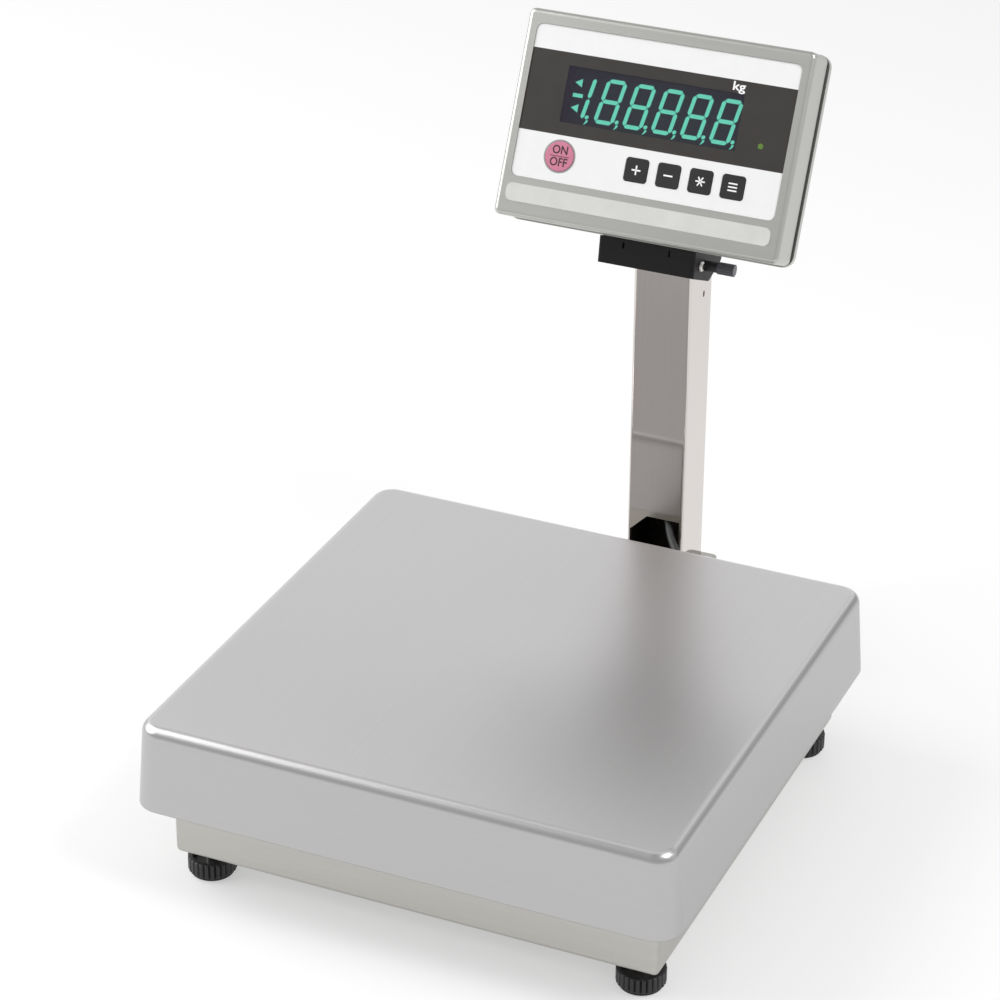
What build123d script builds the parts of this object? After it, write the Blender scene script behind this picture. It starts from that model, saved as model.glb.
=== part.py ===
from build123d import *
import os
from math import atan2, cos, degrees, hypot, pi, radians, sin, tan

os.makedirs("parts", exist_ok=True)

# Bench scale: a weighing pan on a folded base, and a column behind it that carries a tilting
# indicator. Lengths are in millimetres. X runs to the right as seen from the front, Y to the
# rear and Z up. The floor is Z = 0 and the footprint's middle is X = Y = 0.

# Weighing pan, a tray with its skirt turned down
pan_width = 350.0
pan_depth = 345.6
pan_height = 55.6
pan_flare = 4.2
pan_corner = 18.0
pan_edge_radius = 6.8
pan_sheet = 1.2
pan_top_z = 115.5

# Base frame, folded sheet with an inward flange along the bottom
base_side_gap = 17.5
base_depth_gap = 17.8
base_height = 70.0
base_sheet = 2.0
base_setback = 4.6
base_bottom_z = 18.9
base_fold_radius = 3.0
base_corner = 3.5
flange_width = 30.0
flange_gusset = 38.0

# Levelling feet, set in from the base's walls
foot_inset_side = 16.2
foot_inset_front = 16.7
foot_inset_rear = 13.3
foot_radius = 15.0
foot_height = 12.0
foot_flutes = 20
foot_flute_radius = 1.1
foot_sole_radius = 13.2
foot_sole_height = 2.0
foot_cup_radius = 12.2
foot_cup_depth = 4.0
foot_hub_radius = 7.0
stud_radius = 4.0
stud_length = 36.0
stud_chamfer = 0.8
bush_radius = 8.0
bush_height = 8.0

# Load cell and what it stands between
cell_width = 30.0
cell_length = 130.0
cell_height = 22.0
cell_bore_radius = 8.0
cell_bore_spacing = 32.0
cell_web_height = 6.0
spacer_length = 36.0
spacer_height = 6.0
cell_bolt_inset = 11.0
cell_bolt_pitch = 16.0
cell_bolt_radius = 3.0
cell_bolt_grip = 14.0
beam_width = 60.0
beam_height = 30.0
beam_sheet = 3.0
stop_gap = 0.5

# Load platform, a pressed spider that carries the pan on rubber pads
platform_sheet = 2.5
platform_height = 14.0
pad_inset_x = 57.0
pad_inset_y = 56.8
arm_width = 34.0
spine_width = 50.0
spine_length = 150.0
pad_radius = 9.0
pad_height = 5.0

# Rear arm and column
column_gap = 64.2
column_width = 40.0
column_depth = 40.0
column_wall = 2.0
column_corner = 2.0
column_inner_corner = 0.5
column_top_z = 308.3
arm_channel_width = 70.0
arm_channel_height = 27.1
arm_channel_sheet = 3.0
arm_bolt_inset = 12.0
arm_overhang = 4.0
foot_plate_width = 62.0
foot_plate_depth = 46.0
foot_plate_height = 4.0
foot_plate_bolt_x = 25.5
foot_plate_bolt_y = 14.0
window_left = 18.0
window_right = 17.5
window_bottom_z = 58.0
window_top_z = 93.4
window_chamfer = 12.0
slot_height = 4.5
slot_width = 2.4
slot_z = 253.4
slot_setback = 24.6
cap_height = 3.0
cap_plug = 4.0

# Screws and bolts
m3_radius = 1.5
m4_radius = 2.0
m5_radius = 2.5
m6_radius = 3.0
button_head_radius = 3.5
button_head_height = 2.2
bolt_head_radius = 5.0
bolt_head_height = 3.6
thread_end = 2.0

# Tilt joint between the column's head and the indicator
pivot_forward = 8.2
pivot_z = 289.3
tilt = 25.6
tilt_back = 30.0
tilt_forward = 20.0
ear_outside = 28.0
ear_sheet = 3.0
ear_radius = 16.0
ear_hub_radius = 9.5
ear_drop = 3.6
head_plate_sheet = 3.0
head_plate_drop = 9.5
head_plate_rise = 17.0
head_screw_x = 11.0
head_screw_z = 8.5
head_screw_rise = 4.0
cradle_width = 66.0
cradle_sheet = 2.5
cradle_bend = 2.2
cradle_corner = 5.0
cradle_slot_x = 15.8
cradle_slot_z = 303.4
cradle_slot_width = 1.4
cradle_slot_height = 4.0
cradle_lean = 10.0
cradle_front_out = 24.8
cradle_front_up = 0.7
cradle_drop_back = 5.1
cradle_drop = 13.0
cradle_tail_back = 30.0
cradle_tail_drop = 6.4
cradle_top = -22.0
cradle_screw_x = 22.0
cradle_screw_high = -32.0
cradle_screw_low = -54.0
stop_radius = 12.06
stop_angle = 159.6
washer_radius = 9.0
nut_radius = 4.6
nut_height = 5.0
sleeve_radius = 3.4
sleeve_length = 8.0
knob_radius = 4.0
knob_length = 11.2
knob_grooves = 16
knob_groove_radius = 0.45

# Indicator. Its pieces are set out on the plane of its front face: x to the right, y up the face.
face_up = 83.4
face_out = 56.7
case_side_margin = 7.3
case_height_margin = 35.0
case_middle = -8.5
case_depth = 26.0
case_wall = 1.5
case_front = 3.2
case_edge_radius = 3.0
case_corner = 4.0
boss_radius = 3.6
screw_inset_x = 8.5
screw_inset_y = 6.5
gasket_thickness = 3.5
gasket_inset = 0.5
gasket_band = 12.0
cover_depth = 7.0
cover_wall = 2.0
cover_overhang = 1.0
cover_corner = 8.0
cover_edge_radius = 2.5
recess_depth = 1.6
recess_ledge = 5.0
panel_width = 178.4
panel_height = 98.0
panel_corner = 4.5
panel_thickness = 0.9
window_inset_left = 26.3
window_inset_right = 33.7
window_inset_top = 23.8
window_inset_bottom = 38.5
window_flange = 2.0
window_thickness = 1.8
power_key_inset = 30.7
power_key_rise = 16.6
power_key_radius = 9.6
key_last_inset = 30.35
key_pitch = 21.6
key_row_rise = 16.3
key_width = 15.3
key_height = 15.0
key_corner = 2.0
key_proud = 0.5
key_edge_radius = 0.4
key_flange = 1.1
key_travel = 0.5
key_stem_radius = 3.0
led_inset = 17.5
led_rise = 44.2
led_radius = 1.8
strip_x = -0.5
strip_drop = 10.45
strip_inset = 7.0
strip_height = 11.5
strip_corner = 4.0
strip_thickness = 0.4
board_inset_x = 21.5
board_inset_y = 24.5
board_middle_y = -9.0
board_thickness = 1.6
board_depth = 18.4
standoff_radius = 3.0
standoff_inset_x = 7.0
standoff_inset_y = 6.0
gland_inset_x = 46.5
gland_inset_y = 27.0

# Signal cable from the load cell to the column's head
cable_radius = 2.5
gland_hex = 8.0
gland_nut = 4.0
gland_dome_radius = 6.0
gland_dome = 5.0
gland_stem_radius = 6.0
gland_stem_end = 3.0
gland_dome_taper = 14.0
base_gland_x = 42.0
base_gland_z = 55.0

# Clearances
running_gap = 0.05
screw_gap = 0.1
slot_gap = 0.3
slide_gap = 0.25
washer_gap = 0.3
fit_gap = 0.1
cable_gap = 0.5

# Sizes that follow from the pan and the panel
base_width = pan_width - 2 * base_side_gap
base_depth = pan_depth - 2 * base_depth_gap
arm_reach_x = pan_width / 2 - pad_inset_x
arm_reach_y = pan_depth / 2 - pad_inset_y
case_width = panel_width + 2 * case_side_margin
case_height = panel_height + case_height_margin
window_width = panel_width - window_inset_left - window_inset_right
window_height = panel_height - window_inset_top - window_inset_bottom
window_middle_x = (window_inset_left - window_inset_right) / 2
window_middle_y = (window_inset_bottom - window_inset_top) / 2
power_key_x = -panel_width / 2 + power_key_inset
power_key_y = -panel_height / 2 + power_key_rise
key_first_x = panel_width / 2 - key_last_inset - 3 * key_pitch
key_row_y = -panel_height / 2 + key_row_rise
led_x = panel_width / 2 - led_inset
led_y = -panel_height / 2 + led_rise
strip_y = -panel_height / 2 - strip_drop
strip_width = case_width - 2 * strip_inset
board_width = case_width - 2 * board_inset_x
board_height = case_height - 2 * board_inset_y
standoff_x = board_width / 2 - standoff_inset_x
standoff_y = board_height / 2 - standoff_inset_y
screw_column = case_width / 2 - screw_inset_x
screw_top = case_middle + case_height / 2 - screw_inset_y
screw_bottom = case_middle - case_height / 2 + screw_inset_y
screw_rows = (screw_top, case_middle, screw_bottom)
gland_x = -case_width / 2 + gland_inset_x
gland_y = case_middle - case_height / 2 + gland_inset_y

# Places that follow from the sizes above
rear_reach = pan_depth / 2 + column_gap + column_depth + arm_overhang
pan_y = (pan_depth / 2 - rear_reach) / 2
base_y = pan_y + base_setback
base_rear_y = base_y + base_depth / 2
column_front_y = pan_y + pan_depth / 2 + column_gap
column_y = column_front_y + column_depth / 2
arm_rear_y = pan_y + rear_reach
arm_top_z = base_bottom_z + arm_channel_height
column_foot_z = arm_top_z + foot_plate_height
pivot_y = column_front_y - pivot_forward
platform_top_z = pan_top_z - pan_sheet - pad_height
platform_web_z = platform_top_z - platform_sheet
cell_top_z = platform_web_z - spacer_height
cell_bottom_z = cell_top_z - cell_height
beam_top_z = cell_bottom_z - spacer_height
beam_web_z = beam_top_z - beam_sheet
spacer_offset = (cell_length - spacer_length) / 2
face_y = pivot_y + face_up * sin(radians(tilt)) - face_out * cos(radians(tilt))
face_z = pivot_z + face_up * cos(radians(tilt)) + face_out * sin(radians(tilt))
face = Plane(
    origin=(0, face_y, face_z),
    x_dir=(1, 0, 0),
    z_dir=(0, -cos(radians(tilt)), sin(radians(tilt))),
)
cover_back = case_depth + gasket_thickness + cover_depth
panel_back = recess_depth
panel_front = recess_depth - panel_thickness
cheek_inside = cradle_width / 2 - cradle_sheet

hanging = (Align.CENTER, Align.CENTER, Align.MAX)
standing = (Align.CENTER, Align.CENTER, Align.MIN)


def level(x, y, z):
    # a plane that lies flat at a point
    return Plane(origin=(x, y, z))


def behind(depth):
    # a plane parallel to the indicator's face, at a depth behind it
    return face.offset(-depth)


def across(x):
    # a plane square to X whose own x is the row's Y and whose own y is Z
    return Plane(origin=(x, 0, 0), x_dir=(0, 1, 0), z_dir=(1, 0, 0))


def face_point(up, depth):
    # (y, z) of a point of the indicator's middle section
    lean = radians(tilt)
    return (
        face_y + up * sin(lean) + depth * cos(lean),
        face_z + up * cos(lean) - depth * sin(lean),
    )


def add_screw(seat, shank_radius, shank_length, head_radius, head_height):
    # a headed screw seated on a plane, with its shank on the plane's far side
    with Locations(seat):
        Cylinder(shank_radius, shank_length, align=hanging)
        Cylinder(head_radius, head_height, align=standing)


# Weighing pan
with BuildPart() as weighing_pan:
    with BuildSketch(level(0, pan_y, pan_top_z - pan_height)):
        RectangleRounded(pan_width, pan_depth, pan_corner)
    extrude(amount=pan_height, taper=degrees(atan2(pan_flare, pan_height)))
    fillet(weighing_pan.faces().sort_by(Axis.Z)[-1].edges(), pan_edge_radius)
    offset(amount=-pan_sheet, openings=weighing_pan.faces().sort_by(Axis.Z)[0])
weighing_pan.part.label = "weighing_pan"
export_step(weighing_pan.part, "parts/weighing_pan.step")

# Rubber pads on the ends of the platform's arms
with BuildPart() as pan_pads:
    with BuildSketch(level(0, pan_y, platform_top_z)):
        with GridLocations(2 * arm_reach_x, 2 * arm_reach_y, 2, 2):
            Circle(pad_radius)
    extrude(amount=pad_height)
pan_pads.part.label = "pan_pads"
export_step(pan_pads.part, "parts/pan_pads.step")

# Load platform: two crossed arms and a spine, pressed as one channel that is open below
arm_angle = degrees(atan2(arm_reach_y, arm_reach_x))
arm_length = 2 * hypot(arm_reach_x, arm_reach_y) + arm_width
front_bolts = [
    (0, -cell_length / 2 + cell_bolt_inset),
    (0, -cell_length / 2 + cell_bolt_inset + cell_bolt_pitch),
]
rear_bolts = [(x, -y) for x, y in front_bolts]
with BuildPart() as load_platform:
    with BuildSketch(level(0, pan_y, platform_top_z - platform_height)):
        Rectangle(arm_length, arm_width, rotation=arm_angle)
        Rectangle(arm_length, arm_width, rotation=-arm_angle)
        Rectangle(spine_width, spine_length)
    extrude(amount=platform_height)
    offset(amount=-platform_sheet, openings=load_platform.faces().sort_by(Axis.Z)[0])
    with BuildSketch(level(0, pan_y, platform_top_z)):
        with Locations(front_bolts):
            Circle(cell_bolt_radius + screw_gap)
    extrude(amount=-platform_sheet, mode=Mode.SUBTRACT)
load_platform.part.label = "load_platform"
export_step(load_platform.part, "parts/load_platform.step")

# Load cell, a bar with the twin-bore window of a single-point cell
with BuildPart() as load_cell:
    with BuildSketch(level(0, pan_y, cell_bottom_z)):
        Rectangle(cell_width, cell_length)
    extrude(amount=cell_height)
    with BuildSketch(across(-cell_width / 2)):
        with Locations((pan_y, cell_bottom_z + cell_height / 2)):
            Rectangle(cell_bore_spacing, cell_web_height)
            with GridLocations(cell_bore_spacing, 0, 2, 1):
                Circle(cell_bore_radius)
    extrude(amount=cell_width, mode=Mode.SUBTRACT)
    with BuildSketch(level(0, pan_y, cell_bottom_z)):
        with Locations(front_bolts + rear_bolts):
            Circle(cell_bolt_radius + screw_gap)
    extrude(amount=cell_height, mode=Mode.SUBTRACT)
load_cell.part.label = "load_cell"
export_step(load_cell.part, "parts/load_cell.step")

# Spacers above the cell's free end and below its fixed end
for name, side, bottom_z, holes in (
    ("cell_spacer_top", -1, cell_top_z, front_bolts),
    ("cell_spacer_bottom", 1, beam_top_z, rear_bolts),
):
    with BuildPart() as cell_spacer:
        with BuildSketch(level(0, pan_y + side * spacer_offset, bottom_z)):
            Rectangle(cell_width, spacer_length)
        extrude(amount=spacer_height)
        with BuildSketch(level(0, pan_y, bottom_z)):
            with Locations(holes):
                Circle(cell_bolt_radius + screw_gap)
        extrude(amount=spacer_height, mode=Mode.SUBTRACT)
    cell_spacer.part.label = name
    export_step(cell_spacer.part, f"parts/{name}.step")

# Bolts through the platform and the beam into the ends of the cell
with BuildPart() as cell_bolts:
    for x, y in front_bolts:
        seat = level(x, pan_y + y, platform_top_z)
        grip = platform_sheet + spacer_height + cell_bolt_grip
        add_screw(seat, cell_bolt_radius, grip, bolt_head_radius, bolt_head_height)
    for x, y in rear_bolts:
        seat = Plane(origin=(x, pan_y + y, beam_web_z), z_dir=(0, 0, -1))
        grip = beam_sheet + spacer_height + cell_bolt_grip
        add_screw(seat, cell_bolt_radius, grip, bolt_head_radius, bolt_head_height)
cell_bolts.part.label = "cell_bolts"
export_step(cell_bolts.part, "parts/cell_bolts.step")

# Beam that spans the base from front to rear under the cell, a channel open below
stop_y = pan_y - spacer_offset
with BuildPart() as cell_beam:
    with BuildSketch(Plane.XZ.offset(-(base_y - base_depth / 2 + base_sheet))):
        with Locations((0, beam_top_z - beam_height / 2)):
            Rectangle(beam_width, beam_height)
        with Locations((0, beam_top_z - beam_height / 2 - beam_sheet)):
            Rectangle(beam_width - 2 * beam_sheet, beam_height, mode=Mode.SUBTRACT)
    extrude(amount=-(base_depth - 2 * base_sheet))
    with BuildSketch(level(0, pan_y, beam_top_z)):
        with Locations(rear_bolts):
            Circle(cell_bolt_radius + screw_gap)
        with Locations((0, stop_y - pan_y)):
            Circle(m6_radius + screw_gap)
    extrude(amount=-beam_sheet, mode=Mode.SUBTRACT)
cell_beam.part.label = "cell_beam"
export_step(cell_beam.part, "parts/cell_beam.step")

# Overload stop under the cell's free end: a set screw and its lock nut
stop_length = cell_bottom_z - stop_gap - beam_web_z + nut_height + thread_end
with BuildPart() as overload_stop:
    with BuildSketch(level(0, stop_y, cell_bottom_z - stop_gap)):
        Circle(m6_radius)
    extrude(amount=-stop_length)
    with BuildSketch(level(0, stop_y, beam_web_z)):
        RegularPolygon(bolt_head_radius, 6)
        Circle(m6_radius, mode=Mode.SUBTRACT)
    extrude(amount=-nut_height)
overload_stop.part.label = "overload_stop"
export_step(overload_stop.part, "parts/overload_stop.step")

# Base frame: four walls and a flange that turns in along the bottom, open in the middle
foot_places = {
    "front_left": (-base_width / 2 + foot_inset_side, -base_depth / 2 + foot_inset_front),
    "front_right": (base_width / 2 - foot_inset_side, -base_depth / 2 + foot_inset_front),
    "rear_left": (-base_width / 2 + foot_inset_side, base_depth / 2 - foot_inset_rear),
    "rear_right": (base_width / 2 - foot_inset_side, base_depth / 2 - foot_inset_rear),
}
arm_bolt_x = arm_channel_width / 2 - arm_bolt_inset
arm_bolt_z = base_bottom_z + arm_channel_height / 2
with BuildPart() as base_frame:
    with BuildSketch(level(0, base_y, base_bottom_z)):
        RectangleRounded(base_width, base_depth, base_corner)
    extrude(amount=base_height)
    fillet(base_frame.faces().sort_by(Axis.Z)[0].edges(), base_fold_radius)
    with BuildSketch(level(0, base_y, base_bottom_z + base_sheet)):
        RectangleRounded(
            base_width - 2 * base_sheet, base_depth - 2 * base_sheet, base_corner - base_sheet
        )
    extrude(amount=base_height, mode=Mode.SUBTRACT)
    with BuildSketch(level(0, base_y, base_bottom_z)) as opening:
        Rectangle(base_width - 2 * flange_width, base_depth - 2 * flange_width)
        chamfer(opening.vertices(), flange_gusset)
    extrude(amount=base_sheet, mode=Mode.SUBTRACT)
    with BuildSketch(level(0, base_y, base_bottom_z)):
        with Locations(list(foot_places.values())):
            Circle(stud_radius + slot_gap)
    extrude(amount=base_sheet, mode=Mode.SUBTRACT)
    with BuildSketch(Plane.XZ.offset(-base_rear_y)):
        with Locations((-arm_bolt_x, arm_bolt_z), (arm_bolt_x, arm_bolt_z)):
            Circle(m6_radius + screw_gap)
        with Locations((base_gland_x, base_gland_z)):
            Circle(gland_stem_radius + fit_gap)
    extrude(amount=base_sheet, mode=Mode.SUBTRACT)
base_frame.part.label = "base_frame"
export_step(base_frame.part, "parts/base_frame.step")

# Threaded bushes on the flange, one over each foot
with BuildPart() as foot_bushes:
    with BuildSketch(level(0, base_y, base_bottom_z + base_sheet)):
        with Locations(list(foot_places.values())):
            RegularPolygon(bush_radius, 6)
            Circle(stud_radius + running_gap, mode=Mode.SUBTRACT)
    extrude(amount=bush_height)
foot_bushes.part.label = "foot_bushes"
export_step(foot_bushes.part, "parts/foot_bushes.step")

# Feet: a fluted disc with a soft sole, moulded on a threaded stud
for name, (x, y) in foot_places.items():
    with BuildPart() as foot_disc:
        with BuildSketch(level(x, base_y + y, foot_sole_height)):
            Circle(foot_radius)
            with PolarLocations(foot_radius, foot_flutes):
                Circle(foot_flute_radius, mode=Mode.SUBTRACT)
        extrude(amount=foot_height - foot_sole_height)
        with BuildSketch(level(x, base_y + y, foot_height)):
            Circle(foot_cup_radius)
            Circle(foot_hub_radius, mode=Mode.SUBTRACT)
        extrude(amount=-foot_cup_depth, mode=Mode.SUBTRACT)
        with BuildSketch(level(x, base_y + y, foot_sole_height)):
            Circle(stud_radius)
        extrude(amount=foot_height, mode=Mode.SUBTRACT)
    foot_disc.part.label = f"foot_disc_{name}"
    export_step(foot_disc.part, f"parts/foot_disc_{name}.step")
    with BuildPart() as foot_sole:
        with BuildSketch(level(x, base_y + y, 0)):
            Circle(foot_sole_radius)
        extrude(amount=foot_sole_height)
    foot_sole.part.label = f"foot_sole_{name}"
    export_step(foot_sole.part, f"parts/foot_sole_{name}.step")
    with BuildPart() as foot_stud:
        with BuildSketch(level(x, base_y + y, foot_sole_height)):
            Circle(stud_radius)
        extrude(amount=stud_length)
        chamfer(foot_stud.edges().filter_by(GeomType.CIRCLE).sort_by(Axis.Z)[-1], stud_chamfer)
    foot_stud.part.label = f"foot_stud_{name}"
    export_step(foot_stud.part, f"parts/foot_stud_{name}.step")

# Arm from the back of the base to the column, a pressed channel that is open below
arm_middle_y = (base_rear_y + arm_rear_y) / 2
foot_plate_bolts = [
    (x, y)
    for x in (-foot_plate_bolt_x, foot_plate_bolt_x)
    for y in (-foot_plate_bolt_y, foot_plate_bolt_y)
]
with BuildPart() as column_arm:
    with BuildSketch(level(0, arm_middle_y, base_bottom_z)):
        Rectangle(arm_channel_width, arm_rear_y - base_rear_y)
    extrude(amount=arm_channel_height)
    fillet(column_arm.edges().filter_by(Axis.Z).sort_by(Axis.Y)[-2:], base_fold_radius)
    with BuildSketch(level(0, arm_middle_y, base_bottom_z)):
        Rectangle(
            arm_channel_width - 2 * arm_channel_sheet,
            arm_rear_y - base_rear_y - 2 * arm_channel_sheet,
        )
    extrude(amount=arm_channel_height - arm_channel_sheet, mode=Mode.SUBTRACT)
    with BuildSketch(level(0, column_y, arm_top_z)):
        with Locations(foot_plate_bolts):
            Circle(m5_radius + screw_gap)
    extrude(amount=-arm_channel_sheet, mode=Mode.SUBTRACT)
    with BuildSketch(Plane.XZ.offset(-base_rear_y)):
        with Locations((-arm_bolt_x, arm_bolt_z), (arm_bolt_x, arm_bolt_z)):
            Circle(m6_radius + screw_gap)
    extrude(amount=-arm_channel_sheet, mode=Mode.SUBTRACT)
column_arm.part.label = "column_arm"
export_step(column_arm.part, "parts/column_arm.step")

# Bolts that hold the arm to the base, each with its nut inside the arm
with BuildPart() as arm_bolts:
    for x in (-arm_bolt_x, arm_bolt_x):
        seat = Plane(origin=(x, base_rear_y - base_sheet, arm_bolt_z), z_dir=(0, -1, 0))
        grip = base_sheet + arm_channel_sheet + nut_height + thread_end
        add_screw(seat, m6_radius, grip, bolt_head_radius, bolt_head_height)
    with BuildSketch(Plane.XZ.offset(-base_rear_y - arm_channel_sheet)):
        with Locations((-arm_bolt_x, arm_bolt_z), (arm_bolt_x, arm_bolt_z)):
            RegularPolygon(bolt_head_radius, 6)
    extrude(amount=-nut_height)
arm_bolts.part.label = "arm_bolts"
export_step(arm_bolts.part, "parts/arm_bolts.step")

# Plate that the column stands on, and its bolts
with BuildPart() as column_foot_plate:
    with BuildSketch(level(0, column_y, arm_top_z)) as foot_plate_outline:
        Rectangle(foot_plate_width, foot_plate_depth)
        fillet(foot_plate_outline.vertices(), foot_plate_height)
        with Locations(foot_plate_bolts):
            Circle(m5_radius + screw_gap, mode=Mode.SUBTRACT)
    extrude(amount=foot_plate_height)
column_foot_plate.part.label = "column_foot_plate"
export_step(column_foot_plate.part, "parts/column_foot_plate.step")

with BuildPart() as foot_plate_screws:
    for x, y in foot_plate_bolts:
        seat = level(x, column_y + y, column_foot_z)
        grip = foot_plate_height + arm_channel_sheet + nut_height
        add_screw(seat, m5_radius, grip, nut_radius, button_head_height)
foot_plate_screws.part.label = "foot_plate_screws"
export_step(foot_plate_screws.part, "parts/foot_plate_screws.step")

# Column: a square tube with a cable window at the foot of its front wall
column_height = column_top_z - column_foot_z
head_screws = [
    (x, pivot_z + head_screw_rise + z)
    for x in (-head_screw_x, head_screw_x)
    for z in (-head_screw_z, head_screw_z)
]
with BuildPart() as column:
    with BuildSketch(level(0, column_y, column_foot_z)):
        RectangleRounded(column_width, column_depth, column_corner)
        RectangleRounded(
            column_width - 2 * column_wall,
            column_depth - 2 * column_wall,
            column_inner_corner,
            mode=Mode.SUBTRACT,
        )
    extrude(amount=column_height)
    with BuildSketch(Plane.XZ.offset(-column_front_y)):
        with BuildLine():
            Polyline(
                (-window_left, window_bottom_z),
                (-window_left, window_top_z - window_chamfer),
                (-window_left + window_chamfer, window_top_z),
                (window_right, window_top_z),
                (window_right, window_bottom_z),
                close=True,
            )
        make_face()
        with Locations(head_screws):
            Circle(m4_radius + screw_gap)
    extrude(amount=-column_wall, mode=Mode.SUBTRACT)
    with BuildSketch(across(column_width / 2)):
        with Locations((column_front_y + slot_setback, slot_z)):
            SlotOverall(slot_height, slot_width, rotation=90)
    extrude(amount=-column_wall, mode=Mode.SUBTRACT)
column.part.label = "column"
export_step(column.part, "parts/column.step")

# Plug that closes the column's top
with BuildPart() as column_cap:
    with BuildSketch(level(0, column_y, column_top_z)):
        RectangleRounded(column_width, column_depth, column_corner)
    extrude(amount=cap_height)
    with BuildSketch(level(0, column_y, column_top_z)):
        plug_width = column_width - 2 * column_wall - 2 * fit_gap
        plug_depth = column_depth - 2 * column_wall - 2 * fit_gap
        RectangleRounded(plug_width, plug_depth, column_corner / 2)
    extrude(amount=-cap_plug)
    with BuildSketch(level(0, column_y, column_top_z + cap_height)):
        Circle(gland_stem_radius + fit_gap)
    extrude(amount=-cap_height - cap_plug, mode=Mode.SUBTRACT)
column_cap.part.label = "column_cap"
export_step(column_cap.part, "parts/column_cap.step")

# Cable glands: one in the base's rear wall, one in the column's cap, one behind the indicator
gland_places = {
    "base_gland": (
        Plane(origin=(base_gland_x, base_rear_y, base_gland_z), z_dir=(0, 1, 0)),
        base_sheet,
    ),
    "column_gland": (level(0, column_y, column_top_z + cap_height), cap_height + cap_plug),
    "indicator_gland": (
        Plane(
            origin=face.from_local_coords((gland_x, gland_y, -cover_back)),
            z_dir=face.z_dir * -1,
        ),
        cover_wall,
    ),
}
for name, (seat, wall) in gland_places.items():
    with BuildPart() as gland:
        with BuildSketch(seat):
            RegularPolygon(gland_hex, 6)
        extrude(amount=gland_nut)
        with BuildSketch(seat.offset(gland_nut)):
            Circle(gland_dome_radius)
        extrude(amount=gland_dome, taper=gland_dome_taper)
        with BuildSketch(seat):
            Circle(gland_stem_radius)
        extrude(amount=-wall - gland_stem_end)
        with BuildSketch(seat.offset(gland_nut + gland_dome)):
            Circle(cable_radius + cable_gap)
        extrude(amount=-gland_nut - gland_dome - wall - gland_stem_end, mode=Mode.SUBTRACT)
    gland.part.label = name
    export_step(gland.part, f"parts/{name}.step")

# Head bracket: a plate on the column's front with two ears, each with a curved stop slot
pivot = (pivot_y, pivot_z)
stop_path = CenterArc(pivot, stop_radius, stop_angle - tilt_back, tilt_back + tilt_forward)
with BuildPart() as head_bracket:
    with BuildSketch(across(-ear_outside)):
        with Locations(pivot):
            Circle(ear_radius)
        with Locations((pivot_y, pivot_z - ear_drop)):
            Rectangle(
                3 * ear_radius, ear_radius, align=(Align.CENTER, Align.MAX), mode=Mode.SUBTRACT
            )
        with Locations(pivot):
            Circle(ear_hub_radius)
        with Locations((column_front_y, pivot_z + head_plate_rise)):
            Rectangle(
                pivot_forward + ear_sheet,
                head_plate_rise + head_plate_drop,
                align=(Align.MAX, Align.MAX),
            )
        with Locations((column_front_y, pivot_z)):
            Rectangle(
                ear_radius, 4 * ear_radius, align=(Align.MIN, Align.CENTER), mode=Mode.SUBTRACT
            )
    extrude(amount=2 * ear_outside)
    with BuildSketch(across(-ear_outside + ear_sheet)):
        with Locations((column_front_y - head_plate_sheet, pivot_z)):
            Rectangle(3 * ear_radius, 4 * ear_radius, align=(Align.MAX, Align.CENTER))
    extrude(amount=2 * (ear_outside - ear_sheet), mode=Mode.SUBTRACT)
    with BuildSketch(across(-ear_outside)):
        SlotArc(stop_path, 2 * (m4_radius + slot_gap))
        with Locations(pivot):
            Circle(m5_radius + running_gap)
    extrude(amount=2 * ear_outside, mode=Mode.SUBTRACT)
    with BuildSketch(Plane.XZ.offset(-column_front_y)):
        with Locations(head_screws):
            Circle(m4_radius + screw_gap)
    extrude(amount=head_plate_sheet, mode=Mode.SUBTRACT)
head_bracket.part.label = "head_bracket"
export_step(head_bracket.part, "parts/head_bracket.step")

with BuildPart() as head_bracket_screws:
    for x, z in head_screws:
        seat = Plane(origin=(x, column_front_y - head_plate_sheet, z), z_dir=(0, -1, 0))
        grip = head_plate_sheet + column_wall + thread_end
        add_screw(seat, m4_radius, grip, button_head_radius, button_head_height)
head_bracket_screws.part.label = "head_bracket_screws"
export_step(head_bracket_screws.part, "parts/head_bracket_screws.step")

# Nuts welded inside the ears, on the tilt axis
with BuildPart() as pivot_nuts:
    for side in (-1, 1):
        with BuildSketch(across(side * (ear_outside - ear_sheet))):
            with Locations(pivot):
                RegularPolygon(nut_radius, 6)
                Circle(m5_radius + running_gap, mode=Mode.SUBTRACT)
        extrude(amount=-side * nut_height)
pivot_nuts.part.label = "pivot_nuts"
export_step(pivot_nuts.part, "parts/pivot_nuts.step")

# Friction washers between the ears and the cradle's cheeks
with BuildPart() as friction_washers:
    for side in (-1, 1):
        with BuildSketch(across(side * ear_outside)):
            with Locations(pivot):
                Circle(washer_radius)
                Circle(m5_radius + running_gap, mode=Mode.SUBTRACT)
        extrude(amount=side * (cheek_inside - ear_outside - washer_gap))
friction_washers.part.label = "friction_washers"
export_step(friction_washers.part, "parts/friction_washers.step")

# Bolt that the left cheek turns on
with BuildPart() as pivot_bolt:
    bolt_seat_x = cradle_width / 2 + washer_gap
    seat = Plane(origin=(-bolt_seat_x, pivot_y, pivot_z), z_dir=(-1, 0, 0))
    grip = bolt_seat_x - ear_outside + ear_sheet + nut_height
    add_screw(seat, m5_radius, grip, bolt_head_radius, bolt_head_height)
pivot_bolt.part.label = "pivot_bolt"
export_step(pivot_bolt.part, "parts/pivot_bolt.step")

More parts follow.
